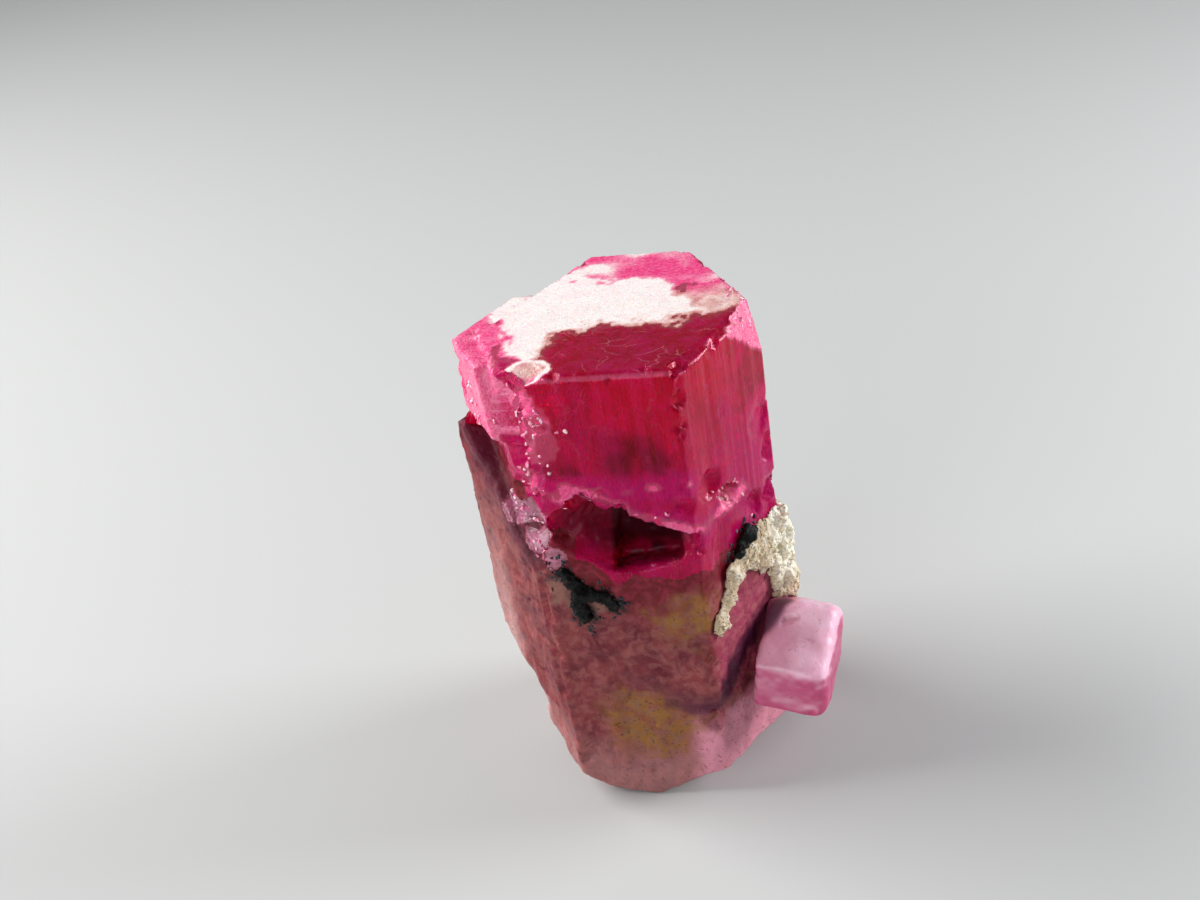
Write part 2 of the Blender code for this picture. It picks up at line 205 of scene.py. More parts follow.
# Pale broken places on the clear crystal, in part painted light where the light from the left falls on them:
# centre, reach, and how pale
PALE_AND_LIT_PLACES = (
    ((-2.6, -4.0, 15.9), 1.0, 0.5),
    ((-2.3, -4.0, 14.8), 0.8, 0.46),
    ((-3.0, -3.8, 13.4), 0.6, 0.48),
    ((-4.3, -1.3, 17.0), 1.2, 0.6),
    ((-5.0, -1.6, 15.8), 1.7, 0.58),
    ((-3.9, -2.9, 16.2), 1.2, 0.6),
    ((-3.9, -2.7, 14.9), 1.1, 0.58),
)
# The pink facet that breaks the right corner, painted pale in part as the light it catches: a point on it,
# the azimuth and rise of its normal
PINK_FACET = ((4.15, -0.6, 16.2), -12.0, 20.0)
# Glassy chips on the milky body: centre, reach, and how pale
GLASSY_CHIPS = (
    ((-3.5, -2.8, 11.7), 0.8, 0.74),
    ((-2.95, -3.6, 11.9), 0.6, 0.7),
    ((-2.95, -3.5, 10.9), 0.85, 0.72),
    ((-2.4, -3.85, 10.4), 0.6, 0.66),
)
# The pale rim between the top and the front face, a painted highlight along the edge
TOP_RIM = ((-1.7, -3.95, 17.0), (2.3, -3.95, 17.0))
# The rim along the cap's front ledge, painted bright as the light through its thin edge
LEDGE = (
    (-3.2, -3.9, 13.5),
    (-2.71, -3.9, 12.95),
    (-1.78, -3.9, 12.8),
    (-0.54, -3.9, 12.65),
    (0.62, -3.9, 12.0),
    (1.58, -3.9, 11.65),
    (2.52, -3.9, 11.1),
    (3.58, -1.8, 11.3),
)
# The band on the front face above the ledge, painted bright as the light from below
BRIGHT_BAND = ((-2.9, -3.9, 12.95), (-0.5, -3.9, 13.0), (2.3, -3.9, 13.0))
# Shell-like ripples: centre, reach, spacing, height
RIPPLES = (
    ((-2.3, -3.6, 12.3), 1.9, 0.3, 0.035),
    ((3.14, -3.3, 12.45), 0.75, 0.24, 0.02),
    ((4.26, -1.42, 10.35), 0.75, 0.24, 0.02),
    ((5.2, -1.5, 13.3), 1.9, 0.42, 0.03),
    ((0.95, -3.2, 11.9), 1.5, 0.4, 0.03),
)
# Chipped edges: start, end, number of chips, their least and greatest reach
CHIPPED_EDGES = (
    ((-2.93, -3.9, 16.9), (-3.2, -3.9, 11.0), 60, 0.25, 0.8),
    ((-3.4, -3.3, 12.2), (-2.7, -3.9, 10.2), 26, 0.2, 0.6),
    ((2.32, -3.9, 16.9), (2.4, -3.9, 10.5), 12, 0.15, 0.35),
    ((4.4, -0.3, 16.0), (4.4, -0.3, 9.5), 8, 0.2, 0.5),
    ((-3.2, -3.9, 13.3), (0.6, -3.9, 12.0), 26, 0.2, 0.5),
    ((0.6, -3.9, 12.0), (3.6, -1.8, 11.2), 24, 0.2, 0.5),
    ((-2.9, -3.9, 17.05), (2.3, -3.9, 17.05), 10, 0.12, 0.25),
    ((2.3, -3.9, 17.05), (4.3, -0.5, 17.05), 10, 0.12, 0.3),
    ((4.3, 0.3, 17.05), (2.0, 4.4, 17.05), 9, 0.1, 0.25),
    ((2.0, 4.4, 17.05), (-1.3, 4.4, 17.05), 6, 0.1, 0.2),
    ((-1.3, 4.4, 17.05), (-4.5, -1.0, 17.05), 12, 0.12, 0.3),
    ((-4.6, -1.2, 17.0), (-5.1, -1.3, 14.0), 14, 0.15, 0.4),
    ((2.0, 4.4, 16.9), (2.0, 4.4, 8.0), 18, 0.2, 0.5),
    ((-1.3, 4.4, 16.9), (-1.3, 4.4, 6.0), 18, 0.2, 0.5),
    ((-2.9, -3.7, 10.5), (-2.6, -3.7, 2.0), 12, 0.2, 0.4),
    ((2.3, -3.7, 8.0), (1.9, -3.6, 2.5), 12, 0.2, 0.4),
)
CHIP_DEPTH = 0.16
# Edges along which small flakes stand up, painted bright as glints
FLAKED_EDGES = (
    ((-2.6, -3.92, 15.9), (-1.7, -3.92, 15.5)),
    ((-2.6, -3.92, 15.0), (-2.1, -3.92, 14.1)),
    ((-2.95, -3.85, 16.8), (-3.0, -3.8, 13.2)),
    ((-3.6, -2.8, 12.2), (-2.5, -3.85, 10.3)),
    ((-4.9, -1.9, 16.9), (-4.4, -2.3, 14.6)),
    ((1.4, -3.9, 12.1), (3.5, -1.9, 11.4)),
    ((4.2, -0.4, 16.9), (2.9, 2.4, 16.9)),
)
# The side crystal: azimuth of its axis, height of its mauve root, and rounds of wear on its edges
SIDE_AZIMUTH, SIDE_ROOT_TOP, SIDE_WEAR = -9.5, 5.2, 70
# Its chips: how many, their least and greatest reach, and their depth
SIDE_CHIP_COUNT, SIDE_CHIP_LEAST, SIDE_CHIP_GREATEST, SIDE_CHIP_DEPTH = 16, 0.2, 0.4, 0.02
# Scattered grains: density in grains per square millimetre
CRUMB_DENSITY, SPECK_DENSITY, FLAKE_DENSITY = 16.0, 26.0, 28.0
# Flakes also scattered thinly over the clear front faces, as painted glints
STRAY_FLAKES = 0.004
# Least and greatest turns and sizes of a scattered stone, and the fineness of its uneven surface
STONE_TURNS = ((0.0, 0.0, 0.0), (6.28, 6.28, 6.28))
STONE_SIZES = ((0.3, 0.3, 0.2), (1.0, 0.8, 0.6))
STONE_GRAIN = 9.0

# The camera: place, azimuth, elevation and roll in degrees
CAMERA_PLACE = (9.02, -43.83, 40.16)
CAMERA_AZIMUTH, CAMERA_RISE, CAMERA_ROLL = 13.1, 32.1, -9.8
CAMERA_LENS, CAMERA_SENSOR = 48.0, 36.0
CAMERA_NEAR = 1.0

# Soft boxes: name, place, size, power in watts, colour
SOFT_BOXES = (
    ("key_light", (-105.0, 12.0, 95.0), 90.0, 0.235, (1.0, 0.98, 0.96)),
    ("front_light", (-50.0, -130.0, 60.0), 90.0, 0.09, (1.0, 1.0, 1.0)),
    ("right_light", (100.0, 30.0, 40.0), 40.0, 0.12, (0.98, 0.99, 1.0)),
)
# The studio's even light, and the round floor
STUDIO_COLOUR, STUDIO_STRENGTH = (0.8, 0.84, 0.86, 1.0), 0.25
FLOOR_REACH, FLOOR_SIDES, FLOOR_ROUGHNESS = 3000.0, 96, 0.8


def length(name, description, default, least=0.0):
    """A length property, its default and least value given in millimetres."""
    return FloatProperty(
        name=name,
        description=description,
        default=default * MM,
        min=least * MM,
        unit="LENGTH",
    )


def tint(name, description, default):
    """A colour property."""
    return FloatVectorProperty(
        name=name,
        description=description,
        default=default,
        subtype="COLOR",
        size=3,
    )


class CrystalSizes(bpy.types.PropertyGroup):
    """Sizes of the fine surface."""

    main_mesh: length("Main crystal faces", "Edge of the main crystal's even faces", 0.09, 0.08)
    small_mesh: length("Small piece faces", "Edge of the side crystal's and host rock's faces", 0.06, 0.04)
    grain_mesh: length("Grain faces", "Edge of the black grains' even faces", 0.035, 0.02)
    milky_relief: length("Milky relief", "Height of the lumps on the milky body", 0.06)
    broken_relief: length("Broken relief", "Height of the facets in the broken hollows", 0.07)
    crumb_size: length("Crumb size", "Greatest radius of the host rock's crumbs", 0.1, 0.01)
    speck_size: length("Speck size", "Greatest radius of the black specks", 0.1, 0.01)
    flake_size: length("Flake size", "Greatest radius of the bright flakes", 0.1, 0.01)
    seed: IntProperty(
        name="Seed",
        description="Start of the random numbers for chips and crumbs",
        default=7,
        min=0,
    )


class CrystalColours(bpy.types.PropertyGroup):
    """Colours of the crystal, its rock and the table."""

    clear: tint("Clear beryl", "Tint of the clear crystal's surface", (0.62, 0.001, 0.04))
    depth: tint("Clear beryl, in depth", "Light that the clear crystal lets through", (0.99, 0.01, 0.68))
    # The top's white is partly etching and partly a painted reflection of the light
    etched_and_glare: tint("Etched top", "Colour of the etched patch on the top", (0.92, 0.83, 0.82))
    milky: tint("Milky beryl", "Main colour of the milky body", (0.235, 0.036, 0.042))
    rose: tint("Rose mottling", "Darker mottling of the milky body", (0.125, 0.009, 0.021))
    ochre: tint("Ochre stain", "Iron stain on the front face", (0.3, 0.12, 0.025))
    # The side crystal's pale and deep tints are lit and shaded copies of one pink: painted light and shade
    side_lit_pale: tint("Side crystal, pale", "Upper faces of the side crystal", (0.74, 0.34, 0.46))
    side_shaded_deep: tint("Side crystal, deep", "Lower faces of the side crystal", (0.55, 0.06, 0.19))
    rock: tint("Host rock", "Pale colour of the host rock", (0.97, 0.92, 0.77))
    oxide: tint("Black oxide", "Colour of the black grains", (0.004, 0.004, 0.004))
    table: tint("Table", "Colour of the pale table", (0.5, 0.51, 0.51))


# Numbers at points

def smooth_step(values, low, high):
    """0 below low, 1 above high, and a smooth rise between."""
    part = np.clip((values - low) / (high - low), 0.0, 1.0)
    return part * part * (3.0 - 2.0 * part)


def fade(values, low, high):
    """1 below low, 0 above high, and a smooth fall between."""
    return 1.0 - smooth_step(values, low, high)


def distance(points, centre):
    """Distance from each point to a centre."""
    return np.linalg.norm(points - np.array(centre), axis=1)


def lattice_value(cells, seed):
    """A fixed random number from -1 to 1 for each lattice cell."""
    first, second, third = (cells * CELL_PRIMES).T
    mixed = first ^ second ^ third ^ seed * SEED_PRIME
    mixed = (mixed ^ (mixed >> 13)) * FIRST_PRIME & 0xFFFFFFFF
    mixed = (mixed ^ (mixed >> 15)) * SECOND_PRIME & 0xFFFFFFFF
    return (mixed >> 8 & 0xFFFF) / 32767.5 - 1.0


def lumps(points, size, seed):
    """Smooth random lumps of about the given size, from -1 to 1."""
    cell = points / size + LATTICE_SHIFT
    low = np.floor(cell).astype(np.int64)
    part = cell - low
    part = part * part * (3.0 - 2.0 * part)
    total = np.zeros(len(points))
    for corner in itertools.product((0, 1), repeat=3):
        weight = np.prod(np.where(corner, part, 1.0 - part), axis=1)
        total += weight * lattice_value(low + corner, seed)
    return total


def facets(points, size, seed):
    """Flat facets of about the given size: each cell has its own tilted plane, from about -1 to 1."""
    cell = points / size + LATTICE_SHIFT
    low = np.floor(cell).astype(np.int64)
    nearest = np.full(len(points), np.inf)
    height = np.zeros(len(points))
    for step in itertools.product((-1, 0, 1), repeat=3):
        here = low + step
        centre = here + 0.5 + 0.4 * np.stack([lattice_value(here, seed + axis) for axis in range(3)], axis=1)
        away = cell - centre
        gap = (away * away).sum(axis=1)
        tilt = np.stack([lattice_value(here, seed + 11 + axis) for axis in range(3)], axis=1)
        closer = gap < nearest
        nearest = np.where(closer, gap, nearest)
        height = np.where(closer, (away * tilt).sum(axis=1), height)
    return height


def outline_depth(flat_points, outline):
    """How far inside a closed outline each point lies. Points outside get a negative distance."""
    corners = np.array(outline)
    nearest = np.full(len(flat_points), np.inf)
    crossings = np.zeros(len(flat_points), bool)
    for start, end in zip(corners, np.roll(corners, -1, axis=0)):
        along = end - start
        part = np.clip(((flat_points - start) @ along) / (along @ along), 0.0, 1.0)
        gap = flat_points - start - part[:, None] * along
        nearest = np.minimum(nearest, np.hypot(gap[:, 0], gap[:, 1]))
        spans = (start[1] > flat_points[:, 1]) != (end[1] > flat_points[:, 1])
        rise = np.where(along[1] == 0.0, 1.0, along[1])
        reach = start[0] + (flat_points[:, 1] - start[1]) * along[0] / rise
        crossings ^= spans & (flat_points[:, 0] < reach)
    return np.where(crossings, nearest, -nearest)


def path_distance(points, path):
    """Distance from each point to a chain of straight stretches."""
    nearest = np.full(len(points), np.inf)
    for start, end in zip(np.array(path[:-1]), np.array(path[1:])):
        along = end - start
        part = np.clip(((points - start) @ along) / (along @ along), 0.0, 1.0)
        nearest = np.minimum(nearest, np.linalg.norm(points - start - part[:, None] * along, axis=1))
    return nearest


def level_direction(azimuth):
    """A level unit vector from an azimuth in degrees."""
    return np.array((math.cos(math.radians(azimuth)), math.sin(math.radians(azimuth)), 0.0))


# Fine skins

class Skin:
    """A piece's surface in millimetres: its mesh, its points and its normals."""

    def __init__(self, mesh):
        self.mesh = mesh
        self.count = len(mesh.vertices)
        self.points = np.empty(self.count * 3)
        mesh.vertices.foreach_get("co", self.points)
        self.points = self.points.reshape(-1, 3)
        self.renew_normals()

    def renew_normals(self):
        """Reads the normals again after the points have moved."""
        self.mesh.vertices.foreach_set("co", self.points.ravel())
        self.mesh.update()
        flat = np.empty(self.count * 3)
        self.mesh.vertices.foreach_get("normal", flat)
        self.normals = flat.reshape(-1, 3)

    def raise_by(self, heights):
        """Moves each point along its normal."""
        self.points += self.normals * heights[:, None]
        self.renew_normals()

    def chip(self, edge, rng, depth):
        """Cuts small flat facets along one edge."""
        start, end, count, least, greatest = edge
        start, end = np.array(start), np.array(end)
        for _ in range(count):
            aim = start + (end - start) * rng.random() + rng.normal(0.0, 0.12, 3)
            nearest = int(distance(self.points, aim).argmin())
            middle = self.points[nearest]
            size = least + (greatest - least) * rng.random() ** 2
            facing = self.normals[nearest] + rng.normal(0.0, 0.45, 3)
            facing /= np.linalg.norm(facing)
            near = distance(self.points, middle) < size
            over = (self.points[near] - middle) @ facing + depth * size / greatest * rng.random()
            self.points[near] -= np.maximum(over, 0.0)[:, None] * facing
        self.renew_normals()

    def store(self, name, values):
        """Keeps one number for each point, for the material to read."""
        layer = self.mesh.attributes.new(name, "FLOAT", "POINT")
        layer.data.foreach_set("value", np.clip(values, 0.0, 1.0).astype(np.float32))

    def face_mean(self, values):
        """The mean over each face of a number kept for each point."""
        corners = np.empty(len(self.mesh.loops), np.int32)
        self.mesh.loops.foreach_get("vertex_index", corners)
        starts = np.empty(len(self.mesh.polygons), np.int32)
        self.mesh.polygons.foreach_get("loop_start", starts)
        totals = np.empty(len(self.mesh.polygons), np.int32)
        self.mesh.polygons.foreach_get("loop_total", totals)
        return np.add.reduceat(values[corners], starts) / totals


def packed_mesh(node):
    """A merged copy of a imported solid's mesh, in millimetres."""
    bm = bmesh.new()
    bm.from_mesh(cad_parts[node].data)
    bm.transform(Matrix.Scale(1.0 / MM, 4))
    bmesh.ops.remove_doubles(bm, verts=bm.verts, dist=WELD)
    mesh = bpy.data.meshes.new(node + "_skin")
    bm.to_mesh(mesh)
    bm.free()
    return mesh


def settled_mesh(holder):
    """The plain mesh that an object's modifiers make. The object is removed."""
    depsgraph = bpy.context.evaluated_depsgraph_get()
    mesh = bpy.data.meshes.new_from_object(holder.evaluated_get(depsgraph), depsgraph=depsgraph)
    bpy.data.objects.remove(holder)
    return mesh


def even_skin(node, edge, worn=0):
    """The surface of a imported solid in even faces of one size, its edges worn by so many rounds."""
    holder = bpy.data.objects.new(node + "_work", packed_mesh(node))
    bpy.context.scene.collection.objects.link(holder)
    even = holder.modifiers.new("even_faces", "REMESH")
    even.mode = "VOXEL"
    even.voxel_size = edge
    if worn:
        soft = holder.modifiers.new("worn_edges", "SMOOTH")
        soft.iterations = worn
    return Skin(settled_mesh(holder))


def placed_piece(name, mesh, points, box):
    """A piece on the root body. Its points, in metres, are held inside a box."""
    mesh.name = name
    mesh.vertices.foreach_set("co", np.clip(points, *np.array(box)).ravel())
    mesh.update()
    piece = bpy.data.objects.new(name, mesh)
    bpy.context.scene.collection.objects.link(piece)
    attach(piece, ROOT)
    return piece


def finished_piece(name, skin, node, slot, *materials):
    """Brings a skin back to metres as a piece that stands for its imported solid."""
    for material in materials:
        skin.mesh.materials.append(material)
    skin.mesh.shade_smooth()
    piece = placed_piece(name, skin.mesh, skin.points * MM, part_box(node))
    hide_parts(node)


# Node building

def add(tree, kind, inputs=None, **settings):
    """One node: its own settings, then its inputs, each a value or another node's output."""
    made = tree.nodes.new(kind)
    for name, value in settings.items():
        setattr(made, name, value)
    for name, value in (inputs or {}).items():
        if isinstance(value, bpy.types.NodeSocket):
            tree.links.new(value, made.inputs[name])
        else:
            made.inputs[name].default_value = value
    return made


def mix(tree, factor, first, second):
    """Blends two colours."""
    made = add(tree, "ShaderNodeMix", {0: factor}, data_type="RGBA")
    for index, value in ((6, first), (7, second)):
        if isinstance(value, bpy.types.NodeSocket):
            tree.links.new(value, made.inputs[index])
        else:
            made.inputs[index].default_value = (*value[:3], 1.0)
    return made.outputs[2]


def maths(tree, operation, first, second=0.0):
    """One sum of two numbers."""
    return add(tree, "ShaderNodeMath", {0: first, 1: second}, operation=operation).outputs[0]


def times(tree, first, second):
    """The product of two numbers."""
    return maths(tree, "MULTIPLY", first, second)


def vector_maths(tree, operation, first, second):
    """One sum of two vectors."""
    return add(tree, "ShaderNodeVectorMath", {0: first, 1: second}, operation=operation).outputs["Vector"]


def scaled(tree, vector, factor):
    """A vector times a number."""
    inputs = {0: vector, "Scale": factor}
    return add(tree, "ShaderNodeVectorMath", inputs, operation="SCALE").outputs["Vector"]


def rise(tree, value, low, high, least=0.0, most=1.0):
    """Maps a number from between low and high to between least and most, smoothly."""
    inputs = {"Value": value, "From Min": low, "From Max": high, "To Min": least, "To Max": most}
    return add(tree, "ShaderNodeMapRange", inputs, interpolation_type="SMOOTHSTEP").outputs["Result"]


def new_group(name, inputs, outputs):
    """An empty shader node group with named number inputs and its outputs."""
    group = bpy.data.node_groups.new(name, "ShaderNodeTree")
    for label, value in inputs:
        socket = group.interface.new_socket(label, in_out="INPUT", socket_type="NodeSocketFloat")
        socket.default_value = value
    for label, kind in outputs:
        group.interface.new_socket(label, in_out="OUTPUT", socket_type=kind)
    return group, group.nodes.new("NodeGroupInput"), group.nodes.new("NodeGroupOutput")


def object_millimetres(tree, stretch=(1.0, 1.0, 1.0)):
    """The place on the piece in millimetres, each axis with its own stretch."""
    place = add(tree, "ShaderNodeTexCoord").outputs["Object"]
    scale = tuple(part / MM for part in stretch)
    return add(tree, "ShaderNodeMapping", {"Vector": place, "Scale": scale}).outputs["Vector"]


def mottle_group():
    """Patches of a given size in millimetres, as a mask with soft or hard edges."""
    inputs = (("Size", 1.0), ("Low", 0.45), ("High", 0.6), ("Wander", 0.3))
    group, given, result = new_group("mottle", inputs, (("Mask", "NodeSocketFloat"),))
    place = object_millimetres(group)
    bend = add(group, "ShaderNodeTexNoise", {"Vector": place, "Scale": 1.3, "Detail": 3.0})
    moved = vector_maths(group, "ADD", place, scaled(group, bend.outputs["Color"], given.outputs["Wander"]))
    pitch = maths(group, "DIVIDE", 1.0, given.outputs["Size"])
    spots = add(group, "ShaderNodeTexNoise", {"Vector": moved, "Scale": pitch, "Detail": 5.0})
    mask = rise(group, spots.outputs["Fac"], given.outputs["Low"], given.outputs["High"])
    group.links.new(mask, result.inputs["Mask"])
    return group


def growth_line_group():
    """Fine lines along the long axis, as on a beryl's prism faces."""
    group, given, result = new_group("growth_lines", (("Pitch", 0.12),), (("Mask", "NodeSocketFloat"),))
    place = object_millimetres(group, (1.0, 1.0, 0.06))
    pitch = maths(group, "DIVIDE", 1.0, given.outputs["Pitch"])
    lines = add(group, "ShaderNodeTexNoise", {"Vector": place, "Scale": pitch, "Detail": 3.0})
    group.links.new(rise(group, lines.outputs["Fac"], 0.35, 0.7), result.inputs["Mask"])
    return group


def scratch_group():
    """Hair-fine curved lines, a few tenths of a millimetre apart."""
    inputs = (("Spacing", 1.0), ("Width", 0.03), ("Wander", 1.2))
    group, given, result = new_group("scratches", inputs, (("Mask", "NodeSocketFloat"),))
    place = object_millimetres(group, (1.0, 1.0, 0.5))
    bend = add(group, "ShaderNodeTexNoise", {"Vector": place, "Scale": 0.7, "Detail": 4.0})
    moved = vector_maths(group, "ADD", place, scaled(group, bend.outputs["Color"], given.outputs["Wander"]))
    pitch = maths(group, "DIVIDE", 1.0, given.outputs["Spacing"])
    inputs = {"Vector": moved, "Scale": pitch}
    cells = add(group, "ShaderNodeTexVoronoi", inputs, feature="DISTANCE_TO_EDGE")
    line = maths(group, "LESS_THAN", cells.outputs["Distance"], given.outputs["Width"])
    gaps = add(group, "ShaderNodeTexNoise", {"Vector": place, "Scale": 1.1, "Detail": 2.0})
    shown = rise(group, gaps.outputs["Fac"], 0.45, 0.6)
    group.links.new(times(group, line, shown), result.inputs["Mask"])
    return group


def grain_group():
    """A grainy surface: lumps and small pits of a given size and height in millimetres."""
    inputs = (("Size", 0.2), ("Height", 0.02), ("Pits", 0.5))
    outputs = (("Normal", "NodeSocketVector"), ("Mask", "NodeSocketFloat"))
    group, given, result = new_group("grain", inputs, outputs)
    place = object_millimetres(group)
    pitch = maths(group, "DIVIDE", 1.0, given.outputs["Size"])
    soft = add(group, "ShaderNodeTexNoise", {"Vector": place, "Scale": pitch, "Detail": 6.0})
    cells = add(group, "ShaderNodeTexVoronoi", {"Vector": place, "Scale": pitch})
    pits = times(group, rise(group, cells.outputs["Distance"], 0.05, 0.45), given.outputs["Pits"])
    height = maths(group, "ADD", soft.outputs["Fac"], pits)
    reach = times(group, given.outputs["Height"], MM)
    bump = add(group, "ShaderNodeBump", {"Strength": 1.0, "Distance": reach, "Height": height})
    group.links.new(bump.outputs["Normal"], result.inputs["Normal"])
    group.links.new(soft.outputs["Fac"], result.inputs["Mask"])
    return group


GROUP_MAKERS = {
    "mottle": mottle_group,
    "growth_lines": growth_line_group,
    "scratches": scratch_group,
    "grain": grain_group,
}


class Finish:
    """One material under construction: its tree and its shader."""

    def __init__(self, name):
        self.material = bpy.data.materials.new(name)
        self.material.use_nodes = True
        self.tree = self.material.node_tree
        self.shader = self.tree.nodes["Principled BSDF"]
        self.output = self.tree.nodes["Material Output"]

    def attribute(self, name):
        """A number kept on the mesh."""
        return add(self.tree, "ShaderNodeAttribute", attribute_name=name).outputs["Fac"]

    def use(self, name, output="Mask", **values):
        """One output of a shared group, which is made on its first use."""
        group = bpy.data.node_groups.get(name) or GROUP_MAKERS[name]()
        made = add(self.tree, "ShaderNodeGroup", node_tree=group)
        for label, value in values.items():
            made.inputs[label.capitalize()].default_value = value
        return made.outputs[output]

    def over(self, colour, *layers):
        """Lays tints over a colour. A layer is a mask or an attribute's name, its share, and the tint."""
        for mask, share, tinted in layers:
            if isinstance(mask, str):
                mask = self.attribute(mask)
            factor = mask if share == 1.0 else times(self.tree, mask, share)
            colour = mix(self.tree, factor, colour, tinted)
        return colour

    def set(self, **values):
        """Sets or links the shader's inputs by name, with _ for a space."""
        for name, value in values.items():
            socket = self.shader.inputs[name.replace("_", " ")]
            if isinstance(value, bpy.types.NodeSocket):
                self.tree.links.new(value, socket)
            elif isinstance(value, (int, float)):
                socket.default_value = value
            else:
                socket.default_value = value if len(value) == len(socket.default_value) else (*value, 1.0)


# Materials

def clear_beryl(colours):
    """Clear crimson crystal: see-through, streaked along its length, with clouds and hairlines."""
    finish = Finish("clear_beryl")
    tree = finish.tree
    cloud = finish.use("mottle", size=1.1, low=0.42, high=0.62, wander=1.6)
    veil = finish.use("mottle", size=0.5, low=0.54, high=0.7, wander=1.8)
    broad = finish.use("growth_lines", pitch=0.8)
    streak = finish.use("growth_lines", pitch=0.3)
    lines = finish.use("growth_lines", pitch=0.1)
    hair = finish.use("scratches", spacing=0.8, width=0.016, wander=2.2)
    frost, dark = finish.attribute("frost"), finish.attribute("dark")
    colour = finish.over(
        colours.clear,
        # Painted light: the clear cap's sides brighter towards its lower edge
        ("bright", 1.0, (0.97, 0.003, 0.14)),
        (cloud, 0.35, (0.4, 0.0, 0.012)),
        (broad, 0.3, (0.45, 0.0, 0.02)),
        ("murk", 1.0, (0.2, 0.0, 0.008)),
        # Magenta, in part the painted glow along the ledge
        ("magenta", 1.0, (0.88, 0.003, 0.25)),
        (veil, 0.3, (0.97, 0.012, 0.24)),
        (streak, 0.25, (0.97, 0.03, 0.28)),
        (hair, rise(tree, finish.attribute("top"), 0.0, 1.0, 0.1, 0.55), (0.9, 0.4, 0.45)),
        # Painted reflection: a pale haze on the top's front strip
        (rise(tree, frost, 0.1, 0.6), 1.0, finish.over((0.9, 0.16, 0.34), ("haze", 1.0, (0.5, 0.13, 0.13)))),
        # Painted shade in the cave and its recess
        (dark, 1.0, (0.02, 0.001, 0.003)),
    )
    rough = rise(tree, lines, 0.0, 1.0, 0.2, 0.34)
    for mask, share in ((hair, 0.3), (frost, 0.15), (dark, 0.4)):
        rough = maths(tree, "ADD", rough, times(tree, mask, share))
    height = times(tree, lines, 0.4)
    for mask, share in ((streak, 1.1), (hair, -0.6)):
        height = maths(tree, "ADD", height, times(tree, mask, share))
    bump = add(tree, "ShaderNodeBump", {"Strength": 1.0, "Distance": LINE_HEIGHT * MM, "Height": height})
    finish.set(
        Base_Color=colour,
        Roughness=rough,
        Normal=bump.outputs["Normal"],
        IOR=BERYL_IOR,
        Transmission_Weight=0.65,
        Specular_IOR_Level=0.05,
        Specular_Tint=(0.8, 0.1, 0.25),
        Coat_Weight=0.1,
        Coat_Roughness=0.03,
    )
    inputs = {"Color": (*colours.depth, 1.0), "Density": ABSORPTION}
    depth = add(tree, "ShaderNodeVolumeAbsorption", inputs)
    tree.links.new(depth.outputs["Volume"], finish.output.inputs["Volume"])
    return finish.material


def frosted_and_highlight_beryl(colours):
    """Etched and finely broken crystal, with painted highlights: pink, white where the etch is deepest, lilac
    where it is glassy.
    """
    finish = Finish("frosted_and_highlight_beryl")
    tree = finish.tree
    frost, glassy = finish.attribute("frost"), finish.attribute("glassy")
    flecks = finish.use("mottle", size=0.45, low=0.4, high=0.62, wander=1.4)
    fine = finish.use("mottle", size=0.12, low=0.42, high=0.62, wander=0.4)
    # These tints carry the painted reflection haze on the top's front strip
    low = finish.over((0.78, 0.015, 0.19), ("haze", 1.0, (0.46, 0.12, 0.12)))
    high = finish.over((0.84, 0.18, 0.35), ("haze", 1.0, (0.78, 0.5, 0.46)))
    lilac = mix(tree, flecks, (0.46, 0.12, 0.23), (0.28, 0.03, 0.09))
    lilac = finish.over(lilac, (fine, 0.1, (0.8, 0.5, 0.62)))
    colour = finish.over(
        low,
        (rise(tree, frost, 0.48, 0.68), 1.0, high),
        # White of the top's patch, partly a painted reflection of the light
        (rise(tree, frost, 0.66, 0.92), 1.0, colours.etched_and_glare),
        (flecks, rise(tree, frost, 0.5, 1.0, 0.5, 0.08), low),
        (fine, 0.1, (0.98, 0.7, 0.74)),
        (glassy, 1.0, mix(tree, rise(tree, frost, 0.5, 0.72), (0.22, 0.02, 0.05), lilac)),
    )
    grain = finish.use("grain", "Normal", size=0.13, height=0.03, pits=0.6)
    rough = rise(tree, fine, 0.0, 1.0, 0.22, 0.45)
    finish.set(Base_Color=colour, Roughness=rough, Normal=grain, IOR=BERYL_IOR)
    finish.set(Subsurface_Weight=0.3, Subsurface_Radius=(1.0, 0.25, 0.4), Subsurface_Scale=0.4 * MM)
    finish.set(Coat_Weight=glassy, Coat_Roughness=0.08)
    return finish.material


